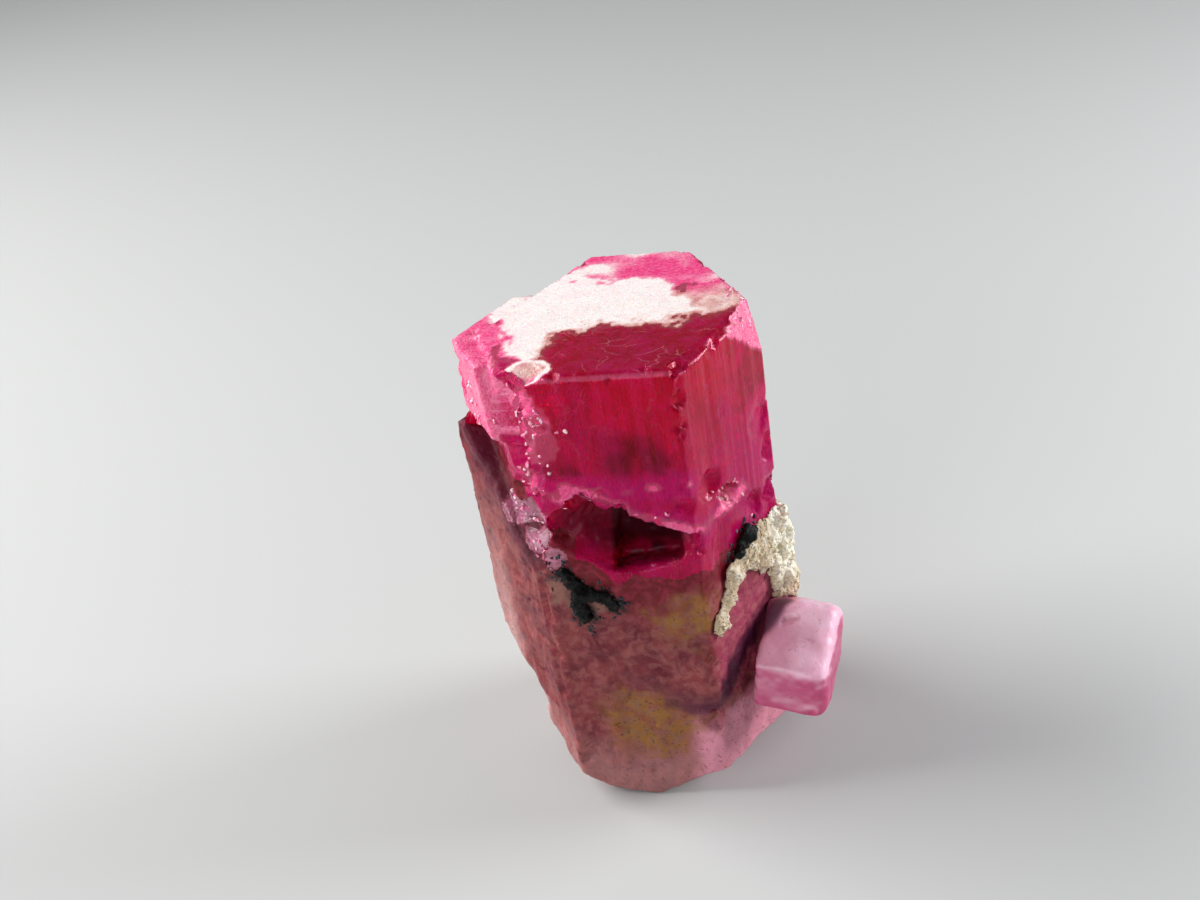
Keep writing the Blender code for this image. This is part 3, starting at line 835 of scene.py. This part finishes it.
def milky_beryl(colours):
    """The milky body: rose with paler and darker mottling, purple near the clear cap, stains and seams; paler
    low on its left rib as painted light, and bright pink inside as painted light.
    """
    finish = Finish("milky_beryl")
    tree = finish.tree
    broad = finish.use("mottle", size=1.1, low=0.38, high=0.66, wander=1.2)
    fine = finish.use("mottle", size=0.3, low=0.4, high=0.68, wander=0.6)
    specks = finish.use("mottle", size=0.13, low=0.58, high=0.68, wander=0.2)
    rust = finish.use("mottle", size=0.8, low=0.4, high=0.62, wander=1.4)
    patchy = rise(tree, maths(tree, "ADD", rust, times(tree, fine, 0.5)), 0.0, 1.3, 1.0, 0.4)
    olive = mix(tree, fine, colours.ochre, (0.24, 0.12, 0.06))
    inside = add(tree, "ShaderNodeNewGeometry").outputs["Backfacing"]
    colour = finish.over(
        colours.milky,
        (broad, 1.0, colours.rose),
        # Painted light: paler low on the left rib; also paler at the foot
        ("pale", 1.0, (0.54, 0.29, 0.28)),
        ("pink", 1.0, (0.66, 0.25, 0.34)),
        ("mauve", 1.0, (0.36, 0.05, 0.11)),
        (fine, 0.35, (0.45, 0.17, 0.15)),
        ("near_clear", 1.0, mix(tree, fine, (0.14, 0.001, 0.006), (0.24, 0.012, 0.035))),
        (specks, 0.5, (0.14, 0.02, 0.04)),
        ("stain", patchy, mix(tree, specks, olive, (0.12, 0.045, 0.015))),
        ("ground", 0.7, (0.26, 0.13, 0.1)),
        # Dark seams, and the groove's painted shade
        ("seam", 1.0, (0.075, 0.01, 0.032)),
        ("smudge", rise(tree, fine, 0.0, 1.0, 1.0, 0.2), (0.012, 0.01, 0.01)),
        # Painted light: the inner side is bright pink, standing in for light that reaches it through the
        # clear cap
        (inside, 1.0, (0.97, 0.25, 0.5)),
    )
    grain = finish.use("grain", "Normal", size=0.2, height=0.025, pits=0.5)
    rough = rise(tree, fine, 0.0, 1.0, 0.38, 0.6)
    finish.set(Base_Color=colour, Roughness=rough, Normal=grain, IOR=BERYL_IOR)
    finish.set(Specular_IOR_Level=0.2, Subsurface_Weight=0.2)
    finish.set(Subsurface_Radius=(1.0, 0.3, 0.4), Subsurface_Scale=0.5 * MM)
    return finish.material


def pink_beryl(colours):
    """The side crystal: satin pink, painted pale on its upper faces as light and magenta on its lower faces
    as shade, mauve against the main crystal.
    """
    finish = Finish("pink_beryl")
    cloud = finish.use("mottle", size=0.9, low=0.35, high=0.7, wander=0.8)
    flecks = finish.use("mottle", size=0.12, low=0.62, high=0.7, wander=0.2)
    colour = finish.over(
        colours.side_lit_pale,
        # Painted highlight towards the crystal's outer upper end
        ("sheen", 1.0, (0.97, 0.6, 0.75)),
        (cloud, 0.35, (0.62, 0.2, 0.34)),
        # Painted shade on the downward faces
        ("lower", 1.0, finish.over(colours.side_shaded_deep, (cloud, 0.3, (0.42, 0.03, 0.1)))),
        ("root", 1.0, (0.42, 0.09, 0.16)),
        (flecks, 0.4, (0.25, 0.05, 0.14)),
        ("seam", 1.0, (0.1, 0.02, 0.05)),
    )
    grain = finish.use("grain", "Normal", size=0.18, height=0.014, pits=0.3)
    rough = rise(finish.tree, cloud, 0.0, 1.0, 0.28, 0.42)
    finish.set(Base_Color=colour, Roughness=rough, Normal=grain, IOR=BERYL_IOR)
    finish.set(Subsurface_Weight=0.35, Subsurface_Radius=(1.0, 0.35, 0.5), Subsurface_Scale=0.6 * MM)
    return finish.material


def rhyolite(colours):
    """Cream host rock, grainy, with tan and grey spots, and tan painted shade on its left and lower part."""
    finish = Finish("rhyolite")
    tan = finish.use("mottle", size=0.6, low=0.48, high=0.66, wander=0.5)
    grey = finish.use("mottle", size=0.22, low=0.6, high=0.68, wander=0.3)
    pale = finish.use("mottle", size=0.3, low=0.5, high=0.7, wander=0.3)
    # The tan attribute is painted shade
    shade = maths(finish.tree, "MAXIMUM", times(finish.tree, tan, 0.35), finish.attribute("tan"))
    colour = finish.over(
        colours.rock,
        (shade, 1.0, (0.42, 0.26, 0.12)),
        (pale, 0.6, (0.99, 0.95, 0.83)),
        (grey, 0.6, (0.2, 0.16, 0.1)),
    )
    finish.set(Base_Color=colour, Roughness=0.85)
    finish.set(Normal=finish.use("grain", "Normal", size=0.12, height=0.05, pits=1.0))
    return finish.material


def black_oxide(colours):
    """Black metal oxide, nearly matt, with a rusty tinge."""
    finish = Finish("black_oxide")
    sheen = finish.use("mottle", size=0.3, low=0.45, high=0.65, wander=0.3)
    rust = finish.use("mottle", size=0.18, low=0.6, high=0.68, wander=0.3)
    colour = finish.over(colours.oxide, (sheen, 1.0, (0.008, 0.011, 0.011)), (rust, 0.4, (0.06, 0.03, 0.02)))
    finish.set(Base_Color=colour, Roughness=rise(finish.tree, sheen, 0.0, 1.0, 0.4, 0.65))
    finish.set(Normal=finish.use("grain", "Normal", size=0.1, height=0.02, pits=0.6))
    finish.set(Specular_IOR_Level=0.12)
    return finish.material


def flake_and_glint_beryl():
    """Small broken flakes of the crystal, pale and glassy, their pale colour a painted glint."""
    finish = Finish("flake_and_glint_beryl")
    patches = finish.use("mottle", size=0.3, low=0.42, high=0.6, wander=0.5)
    colour = mix(finish.tree, patches, (0.97, 0.68, 0.76), (0.85, 0.14, 0.34))
    finish.set(Base_Color=colour, Roughness=0.12, IOR=BERYL_IOR, Coat_Weight=0.5, Coat_Roughness=0.05)
    return finish.material


# The main crystal

def prism_depth(points, column):
    """How far inside the prism's faces each point lies. Column 1 is the cap and 2 the body."""
    return np.min([face[column] - points @ level_direction(face[0]) for face in PRISM], axis=0)


def clear_share(points):
    """1 where the crystal is clear, 0 where it is milky, and the height above the change."""
    azimuths, heights = zip(*CLEAR_FOOT)
    around = np.degrees(np.arctan2(points[:, 1], points[:, 0]))
    foot = np.interp(around, azimuths, heights)
    above = points[:, 2] - foot + CLEAR_EDGE_WANDER * lumps(points, 0.7, 21)
    return smooth_step(above, -0.05, 0.05), above


def shape_main_crystal(skin, sizes):
    """Fine shape of the main crystal, worked from its packed surface."""
    points = skin.points.copy()
    clear, above = clear_share(points)
    inside = np.where(clear > 0.5, prism_depth(points, 1), prism_depth(points, 2))
    below_top = TOP - points[:, 2]
    broken = smooth_step(np.minimum(inside, below_top), 0.08, 0.3)
    upright = fade(np.abs(skin.normals[:, 2]), 0.2, 0.6)
    base = smooth_step(points[:, 2], 0.02, 0.2)

    stretched = points * (1.0, 1.0, 0.05)
    steps = lumps(stretched, 0.45, 1) * 0.03 + lumps(stretched, 0.2, 2) * 0.015
    height = steps * upright * (1.0 - broken)

    relief = sizes.broken_relief / MM
    broken_height = facets(points, 0.6, 3) * relief + facets(points, 0.3, 4) * relief * 0.4
    for centre, reach, spacing, rise_height in RIPPLES:
        away = distance(points, centre) + 0.08 * lumps(points, 0.5, 5)
        waves = np.cos(away * 2.0 * math.pi / spacing) * rise_height
        share = fade(away, reach * 0.7, reach)
        broken_height = broken_height * (1.0 - 0.85 * share) + waves * share
    height += broken_height * broken * clear

    milky_height = sizes.milky_relief / MM
    bumps = lumps(points, 0.6, 6) * 0.7 + lumps(points, 0.3, 7) * 0.45 + facets(points, 0.35, 8) * 0.35
    pits = smooth_step(lumps(points, 0.35, 9), 0.45, 0.8)
    height += (bumps - pits * 0.9) * milky_height * (1.0 - clear)

    on_top = smooth_step(skin.normals[:, 2], 0.8, 0.95) * smooth_step(-below_top, -0.4, -0.1)
    height += on_top * lumps(points, 0.18, 10) * 0.012
    skin.raise_by(height * base)

    rng = np.random.default_rng(sizes.seed)
    for edge in CHIPPED_EDGES:
        skin.chip(edge, rng, CHIP_DEPTH)
    return points, clear, above


def frost_and_highlight_share(skin, points):
    """How far each point is frosted by etching and fine breaks, and how far it is painted pale as a
    highlight: pink from a half, white near one.
    """
    ragged = lumps(points, 0.9, 31) * 0.35 + lumps(points, 0.35, 32) * 0.3 + lumps(points, 0.16, 33) * 0.2
    soft = lumps(points, 1.3, 39) * 0.3 + lumps(points, 0.6, 40) * 0.2
    broken = facets(points, 0.5, 36)
    flat_top = smooth_step(skin.normals[:, 2], 0.5, 0.8) * smooth_step(points[:, 2], 16.4, 16.7)
    border = ragged * 1.3 + lumps(points, 0.1, 41) * 0.15
    # The top's white patch: partly etching, partly a painted reflection of the light
    patch = smooth_step(outline_depth(points[:, :2], ETCHED_AND_GLARE_PATCH) + border, -0.7, 0.6)
    behind = smooth_step(points[:, 1] + ragged, 0.6, 1.4)
    corner = smooth_step(-points[:, 0] + ragged * 0.5, 3.2, 3.7)
    behind = behind * np.maximum(0.66 + soft + 0.15 * ragged, 0.53)
    frost = np.max([patch, behind, corner * 0.56], axis=0)
    for (centre, reach), share in ((TOP_CHIP, 0.74), (TOP_ROUGH, 0.68)):
        away = distance(points, centre) + ragged * 0.4
        frost = np.maximum(frost, fade(away, reach * 0.6, reach) * (share + 0.5 * ragged))
    centre, reach = TOP_CHIP
    ring = fade(np.abs(distance(points, centre) + ragged * 0.3 - reach * 0.8), 0.05, 0.2)
    frost = np.maximum(frost, ring * 0.95) * flat_top
    # Broken places painted pale, in part as painted light from the left
    for centre, reach, share in PALE_AND_LIT_PLACES:
        spot = fade(distance(points, centre) + ragged * 0.5, reach * 0.75, reach)
        spot = spot * (share + 0.1 * broken + 0.1 * ragged)
        frost = np.maximum(frost, spot)
    # The right corner's facet, painted pale in part as painted light
    point, azimuth, lift = PINK_FACET
    aim = level_direction(azimuth) * math.cos(math.radians(lift)) + (0.0, 0.0, math.sin(math.radians(lift)))
    off = np.abs((points - np.array(point)) @ aim)
    facet = fade(off, 0.04, 0.12) * smooth_step(skin.normals @ aim, 0.85, 0.95)
    frost = np.maximum(frost, facet * (0.6 + 0.06 * ragged))
    # A painted highlight along the top's front rim
    rim = fade(path_distance(points, TOP_RIM), 0.03, 0.13)
    frost = np.maximum(frost, rim * (0.5 + 0.25 * ragged))
    # Painted light along the ledge and the band above it
    ledge = fade(path_distance(points, LEDGE) + ragged * 0.35, 0.1, 0.5)
    band = fade(path_distance(points, BRIGHT_BAND) + ragged * 0.6, 0.1, 0.3)
    frost = np.maximum(frost, band * (0.515 + 0.05 * soft))
    return np.maximum(frost, ledge * (0.56 + 0.12 * soft))


def glassy_share(points):
    """Where pale glassy chips break the milky body."""
    ragged = lumps(points, 0.6, 37) * 0.4 + lumps(points, 0.25, 38) * 0.15
    share = np.zeros(len(points))
    for centre, reach, most in GLASSY_CHIPS:
        away = distance(points, centre) + ragged * 0.4
        share = np.maximum(share, fade(away, reach * 0.5, reach) * (most + 0.2 * ragged))
    return share


def mask_main_crystal(skin, points, clear, above):
    """Keeps the masks that the materials read, and returns the share of frosting and painted highlights."""
    frost = np.maximum(frost_and_highlight_share(skin, points), glassy_share(points))
    front = smooth_step(-skin.normals[:, 1], 0.2, 0.7)
    wander = lumps(points, 0.6, 34) * 0.35 + lumps(points, 0.22, 35) * 0.2
    around = np.degrees(np.arctan2(points[:, 1], points[:, 0]))
    ground = smooth_step(outline_depth(points[:, (0, 2)], GREY_GROUND) + wander * 1.2, -0.2, 0.3)
    stain = np.zeros(skin.count)
    for outline in STAINS:
        inside = outline_depth(points[:, (0, 2)], outline)
        stain = np.maximum(stain, smooth_step(inside + wander * 1.3, -0.4, 0.45))
    seam = fade(path_distance(points, SEAM) + wander * 0.35, 0.25, 0.75)
    tail = fade(path_distance(points, SEAM_TAIL) + wander * 0.4, 0.08, 0.4)
    faint = fade(path_distance(points, FAINT_SEAM) + wander * 0.4, 0.05, 0.5)
    # The groove's purple is painted shade
    groove = fade(path_distance(points, GROOVE) + wander * 0.4, 0.15, 0.85)
    seam = np.max([seam, tail * 0.7, faint * 0.4, groove * 0.65], axis=0)
    smudge = np.zeros(skin.count)
    for path in SMUDGES:
        smudge = np.maximum(smudge, fade(path_distance(points, path) + wander * 0.6, 0.12, 0.55))

    height = points[:, 2]
    up = skin.normals[:, 2]
    on_left = smooth_step(-(points @ level_direction(FRONT_RIGHT)), 2.5, 3.3)
    # Painted light: the left rib paler low down
    left_lit = on_left * fade(height, *LEFT_LIT_RISE) * smooth_step(-above, 1.0, 2.5)
    foot_pale = fade(height + wander, *FOOT_PALE_RISE)
    right_end = fade(around, *RIGHT_END)
    on_right = smooth_step(around, *RIGHT_START) * right_end
    low_right = smooth_step(around + wander * 8.0, *LOW_RIGHT_START) * right_end

    # Painted light: a magenta glow along the ledge and the band above it
    ledge = fade(path_distance(points, LEDGE) + wander * 0.5, 0.1, 0.8)
    ledge = np.maximum(ledge, fade(path_distance(points, BRIGHT_BAND) + wander * 0.5, 0.2, 0.8))
    right_side = smooth_step(around, *RIGHT_MAGENTA_START) * fade(height, *RIGHT_MAGENTA_RISE)
    left_edge = fade(np.abs(points[:, 0] + 2.9) + wander * 0.5, 0.2, 1.4)
    # Painted reflection: a pale haze over the front part of the top
    haze = smooth_step(up, 0.5, 0.8) * smooth_step(wander - points[:, 1], -1.4, -0.4)
    haze = haze * smooth_step(points[:, 0] + wander, -3.1, -2.3)
    murk = np.zeros(skin.count)
    for centre, reach in DARKENED_PLACES:
        away = np.linalg.norm((points - np.array(centre)) * (1.0, 1.0, 0.5), axis=1) + wander * 0.9
        murk = np.maximum(murk, fade(away, reach * 0.2, reach * 1.5))

    edges = np.min([path_distance(points, edge) for edge in FLAKED_EDGES], axis=0)
    flakes = fade(edges + wander * 0.4, 0.1, 0.6) * smooth_step(wander, -0.15, 0.1)
    specks = np.min([path_distance(points, path) for path in SMUDGES], axis=0)
    scattered = smooth_step(outline_depth(points[:, (0, 2)], GREY_GROUND), -0.2, 0.2) * front * 0.3

    # Painted shade: the cave and its recess dark, less so on the front of its floor
    low, high = (np.array(corner) for corner in RECESS)
    recess = smooth_step(np.minimum(points - low, high - points).min(axis=1), 0.0, 0.12)
    cave = smooth_step(prism_depth(points, 2), 0.15, 0.7) * smooth_step(-points[:, 1], 1.0, 2.0)
    cave = cave * smooth_step(height, *CAVE_FOOT) * fade(height, *CAVE_ROOF)
    doorstep = smooth_step(-points[:, 1] + wander, 2.2, 3.1) * fade(height, *DOORSTEP_RISE)

    masks = {
        "frost": frost,
        "stain": stain * front,
        "seam": seam,
        "smudge": smudge,
        "ground": ground * front,
        "glassy": glassy_share(points) * 1.6,
        "top": smooth_step(up, 0.8, 0.95),
        "haze": haze * smooth_step(points[:, 1], -3.8, -3.5),
        "murk": murk * front,
        # Painted light: the clear cap's sides brighter low down, less on upward faces
        "bright": fade(height + wander, *BRIGHT_RISE) * (1.0 - 0.8 * up),
        "flakes": np.maximum(flakes, clear * front * STRAY_FLAKES),
        "specks": np.maximum(fade(specks + wander * 0.5, 0.2, 0.65), scattered),
        "mauve": on_right * smooth_step(height, *MAUVE_RISE) * 0.8,
        "pale": np.maximum(left_lit, foot_pale * 0.4),
        "pink": low_right * fade(height + wander, *LOW_RIGHT_RISE),
        "near_clear": fade(-above + wander * 1.4, 0.1, 2.6),
        "magenta": np.max([ledge, right_side * 0.7 + wander, left_edge * 0.7], axis=0),
        # Painted shade in the cave
        "dark": np.maximum(recess, cave * 0.8) * (1.0 - 0.75 * doorstep),
    }
    for name, values in masks.items():
        skin.store(name, values)
    return frost


def make_main_crystal(context):
    """The main crystal: clear, frosted by etching and milky by turns, with painted highlights on the frosted
    faces, in one closed mesh.
    """
    sizes, colours = context.scene.crystal_sizes, context.scene.crystal_colours
    skin = even_skin("main_crystal", sizes.main_mesh / MM)
    points, clear, above = shape_main_crystal(skin, sizes)
    frost = skin.face_mean(mask_main_crystal(skin, points, clear, above)) > 0.5
    glassy = skin.face_mean(glassy_share(points)) > 0.5
    part = np.zeros(len(skin.mesh.polygons), np.int32)
    part[skin.face_mean(clear) < 0.5] = 2
    part[frost & ((part == 0) | glassy)] = 1
    skin.mesh.polygons.foreach_set("material_index", part)
    finishes = (clear_beryl(colours), frosted_and_highlight_beryl(colours), milky_beryl(colours))
    finished_piece("red_beryl_crystal", skin, "main_crystal", "red_beryl", *finishes)


# The smaller pieces

def make_side_crystal(context):
    """The small pink crystal on the right."""
    sizes, colours = context.scene.crystal_sizes, context.scene.crystal_colours
    skin = even_skin("side_crystal", sizes.small_mesh / MM, worn=SIDE_WEAR)
    points = skin.points.copy()
    skin.raise_by(lumps(points, 0.5, 51) * 0.02 + lumps(points, 0.22, 52) * 0.015)
    wander = lumps(points, 0.5, 53)
    outward = points @ level_direction(SIDE_AZIMUTH)
    spot = fade(distance(points, DARK_SPOT) + wander * 0.1, 0.12, 0.3)
    seam = fade(path_distance(points, SEAM) + wander * 0.1, 0.15, 0.45)
    from_body = points @ level_direction(FRONT_RIGHT) - PRISM[1][2] + 0.25 * (SIDE_ROOT_TOP - points[:, 2])
    # Painted shade: the downward faces
    skin.store("lower", smooth_step(-skin.normals[:, 2] + wander * 0.1, -0.3, 0.1))
    # Painted highlight: paler towards the outer, upper end
    skin.store("sheen", smooth_step(outward + 0.4 * points[:, 2] + wander * 0.2, 6.6, 8.2))
    skin.store("seam", np.maximum(seam, spot * 0.7))
    skin.store("root", fade(from_body + wander * 0.1, 0.1, 0.75))
    rng = np.random.default_rng(sizes.seed + 1)
    low, high = (np.array(corner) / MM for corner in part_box("side_crystal"))
    middle = (low + high) / 2.0
    for _ in range(SIDE_CHIP_COUNT):
        aim = middle + rng.normal(0.0, 1.0, 3) * (high - low) * 0.5
        skin.chip((aim, aim, 1, SIDE_CHIP_LEAST, SIDE_CHIP_GREATEST), rng, SIDE_CHIP_DEPTH)
    finished_piece("side_crystal_pink", skin, "side_crystal", "pink_beryl", pink_beryl(colours))


def make_host_rock(context):
    """The crust of host rock, grainy and pitted."""
    sizes, colours = context.scene.crystal_sizes, context.scene.crystal_colours
    skin = even_skin("host_rock", sizes.small_mesh / MM)
    points = skin.points.copy()
    relief = lumps(points, 0.4, 61) * 0.05 + facets(points, 0.25, 62) * 0.07 + lumps(points, 0.12, 63) * 0.03
    skin.raise_by(relief)
    # Painted shade: tan on the rock's left and lower part
    on_front = smooth_step(-(points @ level_direction(BACK_RIGHT)), -3.6, -3.0)
    skin.store("tan", np.maximum(on_front, fade(points[:, 2], 6.0, 7.6)) * 0.75)
    skin.store("crumbs", smooth_step(lumps(points, 0.5, 64), -0.2, 0.3))
    finished_piece("host_rock_crust", skin, "host_rock", "rhyolite", rhyolite(colours))


def make_black_grains(context):
    """The two clusters of black grains."""
    sizes = context.scene.crystal_sizes
    material = black_oxide(context.scene.crystal_colours)
    for node in ("black_grains_front", "black_grains_side"):
        skin = even_skin(node, sizes.grain_mesh / MM)
        points = skin.points.copy()
        skin.raise_by(facets(points, 0.16, 71) * 0.03 + lumps(points, 0.08, 72) * 0.01)
        finished_piece(node + "_cluster", skin, node, "black_oxide", material)


# Scattered grains

def scatter_tree():
    """Scatters small turned stones over a surface, thickest where its mask is strongest."""
    tree = bpy.data.node_groups.new("scatter", "GeometryNodeTree")
    for label, kind in (
        ("Surface", "NodeSocketGeometry"),
        ("Mask", "NodeSocketString"),
        ("Density", "NodeSocketFloat"),
        ("Size", "NodeSocketFloat"),
        ("Seed", "NodeSocketInt"),
        ("Finish", "NodeSocketMaterial"),
    ):
        tree.interface.new_socket(label, in_out="INPUT", socket_type=kind)
    tree.interface.new_socket("Grains", in_out="OUTPUT", socket_type="NodeSocketGeometry")
    given, result = tree.nodes.new("NodeGroupInput").outputs, tree.nodes.new("NodeGroupOutput")

    def step(kind, output, inputs, **settings):
        """One node's output."""
        return add(tree, kind, inputs, **settings).outputs[output]

    mask = step("GeometryNodeInputNamedAttribute", "Attribute", {"Name": given["Mask"]}, data_type="FLOAT")
    inputs = {"Mesh": given["Surface"], "Density": times(tree, mask, given["Density"]), "Seed": given["Seed"]}
    spread = step("GeometryNodeDistributePointsOnFaces", "Points", inputs)
    stone = step("GeometryNodeMeshIcoSphere", "Mesh", {"Radius": 1.0, "Subdivisions": 2})
    turn, size = (
        step("FunctionNodeRandomValue", 0, dict(enumerate(limits)), data_type="FLOAT_VECTOR")
        for limits in (STONE_TURNS, STONE_SIZES)
    )
    size = scaled(tree, size, given["Size"])
    inputs = {"Points": spread, "Instance": stone, "Rotation": turn, "Scale": size}
    placed = step("GeometryNodeInstanceOnPoints", "Instances", inputs)
    real = step("GeometryNodeRealizeInstances", "Geometry", {"Geometry": placed})
    place = step("GeometryNodeInputPosition", "Position", {})
    inputs = {"Vector": place, "Scale": STONE_GRAIN / MM, "Detail": 1.0}
    centred = vector_maths(tree, "SUBTRACT", step("ShaderNodeTexNoise", "Color", inputs), (0.5, 0.5, 0.5))
    inputs = {"Geometry": real, "Offset": scaled(tree, centred, given["Size"])}
    uneven = step("GeometryNodeSetPosition", "Geometry", inputs)
    inputs = {"Geometry": uneven, "Shade Smooth": False}
    flat = step("GeometryNodeSetShadeSmooth", "Geometry", inputs)
    inputs = {"Geometry": flat, "Material": given["Finish"]}
    tree.links.new(step("GeometryNodeSetMaterial", "Geometry", inputs), result.inputs["Grains"])
    return tree


def scatter(context, name, ground, mask, density, size, finish):
    """A piece of scattered grains on another piece: density in grains per square millimetre."""
    holder = bpy.data.objects.new(name + "_work", bpy.data.objects[ground].data)
    context.scene.collection.objects.link(holder)
    tree = bpy.data.node_groups.get("scatter") or scatter_tree()
    grains = holder.modifiers.new("scatter", "NODES")
    grains.node_group = tree
    values = {
        "Mask": mask,
        "Density": density / MM**2,
        "Size": size,
        "Seed": context.scene.crystal_sizes.seed,
        "Finish": finish,
    }
    for socket in tree.interface.items_tree:
        if socket.name in values:
            grains[socket.identifier] = values[socket.name]
    mesh = settled_mesh(holder)
    points = np.empty(len(mesh.vertices) * 3, np.float32)
    mesh.vertices.foreach_get("co", points)
    placed_piece(name, mesh, points.reshape(-1, 3), SOLID_BOUNDS)


def make_crumbs(context):
    """Crumbs on the host rock, black specks round the grains and flakes on the edges, painted bright as
    glints.
    """
    sizes, colours = context.scene.crystal_sizes, context.scene.crystal_colours
    rock = bpy.data.materials.get("rhyolite") or rhyolite(colours)
    oxide = bpy.data.materials.get("black_oxide") or black_oxide(colours)
    flake = flake_and_glint_beryl()
    crystal, crust = "red_beryl_crystal", "host_rock_crust"
    for name, ground, mask, density, size, slot, finish in (
        ("host_rock_crumbs", crust, "crumbs", CRUMB_DENSITY, sizes.crumb_size, "rhyolite", rock),
        ("black_specks", crystal, "specks", SPECK_DENSITY, sizes.speck_size, "black_oxide", oxide),
        ("bright_flakes", crystal, "flakes", FLAKE_DENSITY, sizes.flake_size, "red_beryl", flake),
    ):
        scatter(context, name, ground, mask, density, size, finish)


# The stage

def make_stage(context):
    """The table, the soft lights and the camera."""
    scene, colours = context.scene, context.scene.crystal_colours
    scene.view_settings.view_transform = "Standard"

    bm = bmesh.new()
    bmesh.ops.create_circle(bm, cap_ends=True, segments=FLOOR_SIDES, radius=FLOOR_REACH * MM)
    mesh = bpy.data.meshes.new("table")
    bm.to_mesh(mesh)
    bm.free()
    table = bpy.data.objects.new("table", mesh)
    scene.collection.objects.link(table)
    paint = Finish("table")
    paint.set(Base_Color=colours.table, Roughness=FLOOR_ROUGHNESS)
    mesh.materials.append(paint.material)

    world = bpy.data.worlds.new("studio")
    world.use_nodes = True
    background = world.node_tree.nodes["Background"]
    background.inputs["Color"].default_value = STUDIO_COLOUR
    background.inputs["Strength"].default_value = STUDIO_STRENGTH
    scene.world = world

    for name, place, size, power, colour in SOFT_BOXES:
        light = bpy.data.lights.new(name, "AREA")
        light.size, light.energy, light.color = size * MM, power, colour
        lamp = bpy.data.objects.new(name, light)
        aim = Vector((0.0, 0.0, TOP / 2.0)) - Vector(place)
        turn = aim.to_track_quat("-Z", "Y").to_matrix().to_4x4()
        lamp.matrix_world = Matrix.Translation(Vector(place) * MM) @ turn
        scene.collection.objects.link(lamp)

    turn, lift, roll = (math.radians(angle) for angle in (CAMERA_AZIMUTH, CAMERA_RISE, CAMERA_ROLL))
    back = Vector((math.sin(turn) * math.cos(lift), -math.cos(turn) * math.cos(lift), math.sin(lift)))
    right = Vector((math.cos(turn), math.sin(turn), 0.0))
    up = back.cross(right)
    rolled_right = math.cos(roll) * right + math.sin(roll) * up
    rolled_up = math.cos(roll) * up - math.sin(roll) * right
    data = bpy.data.cameras.new("camera")
    data.lens, data.sensor_width, data.clip_start = CAMERA_LENS, CAMERA_SENSOR, CAMERA_NEAR * MM
    camera = bpy.data.objects.new("camera", data)
    facing = Matrix((rolled_right, rolled_up, back)).transposed().to_4x4()
    camera.matrix_world = Matrix.Translation(Vector(CAMERA_PLACE) * MM) @ facing
    scene.collection.objects.link(camera)
    scene.camera = camera


# Operators, panel and registration

class CRYSTAL_OT_main_crystal(bpy.types.Operator):
    """Make the main crystal's fine surface"""

    bl_idname = "crystal.main_crystal"
    bl_label = "Main crystal"

    def execute(self, context):
        make_main_crystal(context)
        return {"FINISHED"}


class CRYSTAL_OT_side_crystal(bpy.types.Operator):
    """Make the side crystal's fine surface"""

    bl_idname = "crystal.side_crystal"
    bl_label = "Side crystal"

    def execute(self, context):
        make_side_crystal(context)
        return {"FINISHED"}


class CRYSTAL_OT_host_rock(bpy.types.Operator):
    """Make the crust of host rock"""

    bl_idname = "crystal.host_rock"
    bl_label = "Host rock"

    def execute(self, context):
        make_host_rock(context)
        return {"FINISHED"}


class CRYSTAL_OT_black_grains(bpy.types.Operator):
    """Make the clusters of black grains"""

    bl_idname = "crystal.black_grains"
    bl_label = "Black grains"

    def execute(self, context):
        make_black_grains(context)
        return {"FINISHED"}


class CRYSTAL_OT_crumbs(bpy.types.Operator):
    """Scatter the crumbs, the black specks and the bright flakes"""

    bl_idname = "crystal.crumbs"
    bl_label = "Crumbs, specks and flakes"

    def execute(self, context):
        make_crumbs(context)
        return {"FINISHED"}


class CRYSTAL_OT_stage(bpy.types.Operator):
    """Set up the table, the lights and the camera"""

    bl_idname = "crystal.stage"
    bl_label = "Table, lights and camera"

    def execute(self, context):
        make_stage(context)
        return {"FINISHED"}


STEPS = (
    CRYSTAL_OT_stage,
    CRYSTAL_OT_main_crystal,
    CRYSTAL_OT_side_crystal,
    CRYSTAL_OT_host_rock,
    CRYSTAL_OT_black_grains,
    CRYSTAL_OT_crumbs,
)


class CRYSTAL_PT_panel(bpy.types.Panel):
    """Lists the steps, the sizes and the colours."""

    bl_idname = "CRYSTAL_PT_panel"
    bl_label = "Red beryl crystal"
    bl_space_type = "VIEW_3D"
    bl_region_type = "UI"
    bl_category = "Crystal"

    def draw(self, context):
        for step in STEPS:
            self.layout.operator(step.bl_idname)
        for settings in (context.scene.crystal_sizes, context.scene.crystal_colours):
            box = self.layout.box()
            for name in settings.__annotations__:
                box.prop(settings, name)


CLASSES = (CrystalSizes, CrystalColours, *STEPS, CRYSTAL_PT_panel)


def register():
    for made in CLASSES:
        bpy.utils.register_class(made)
    bpy.types.Scene.crystal_sizes = PointerProperty(type=CrystalSizes)
    bpy.types.Scene.crystal_colours = PointerProperty(type=CrystalColours)


def unregister():
    del bpy.types.Scene.crystal_colours
    del bpy.types.Scene.crystal_sizes
    for made in reversed(CLASSES):
        bpy.utils.unregister_class(made)


def main():
    register()
    bpy.ops.crystal.stage()
    bpy.ops.crystal.main_crystal()
    bpy.ops.crystal.side_crystal()
    bpy.ops.crystal.host_rock()
    bpy.ops.crystal.black_grains()
    bpy.ops.crystal.crumbs()


if __name__ == "__main__":
    main()
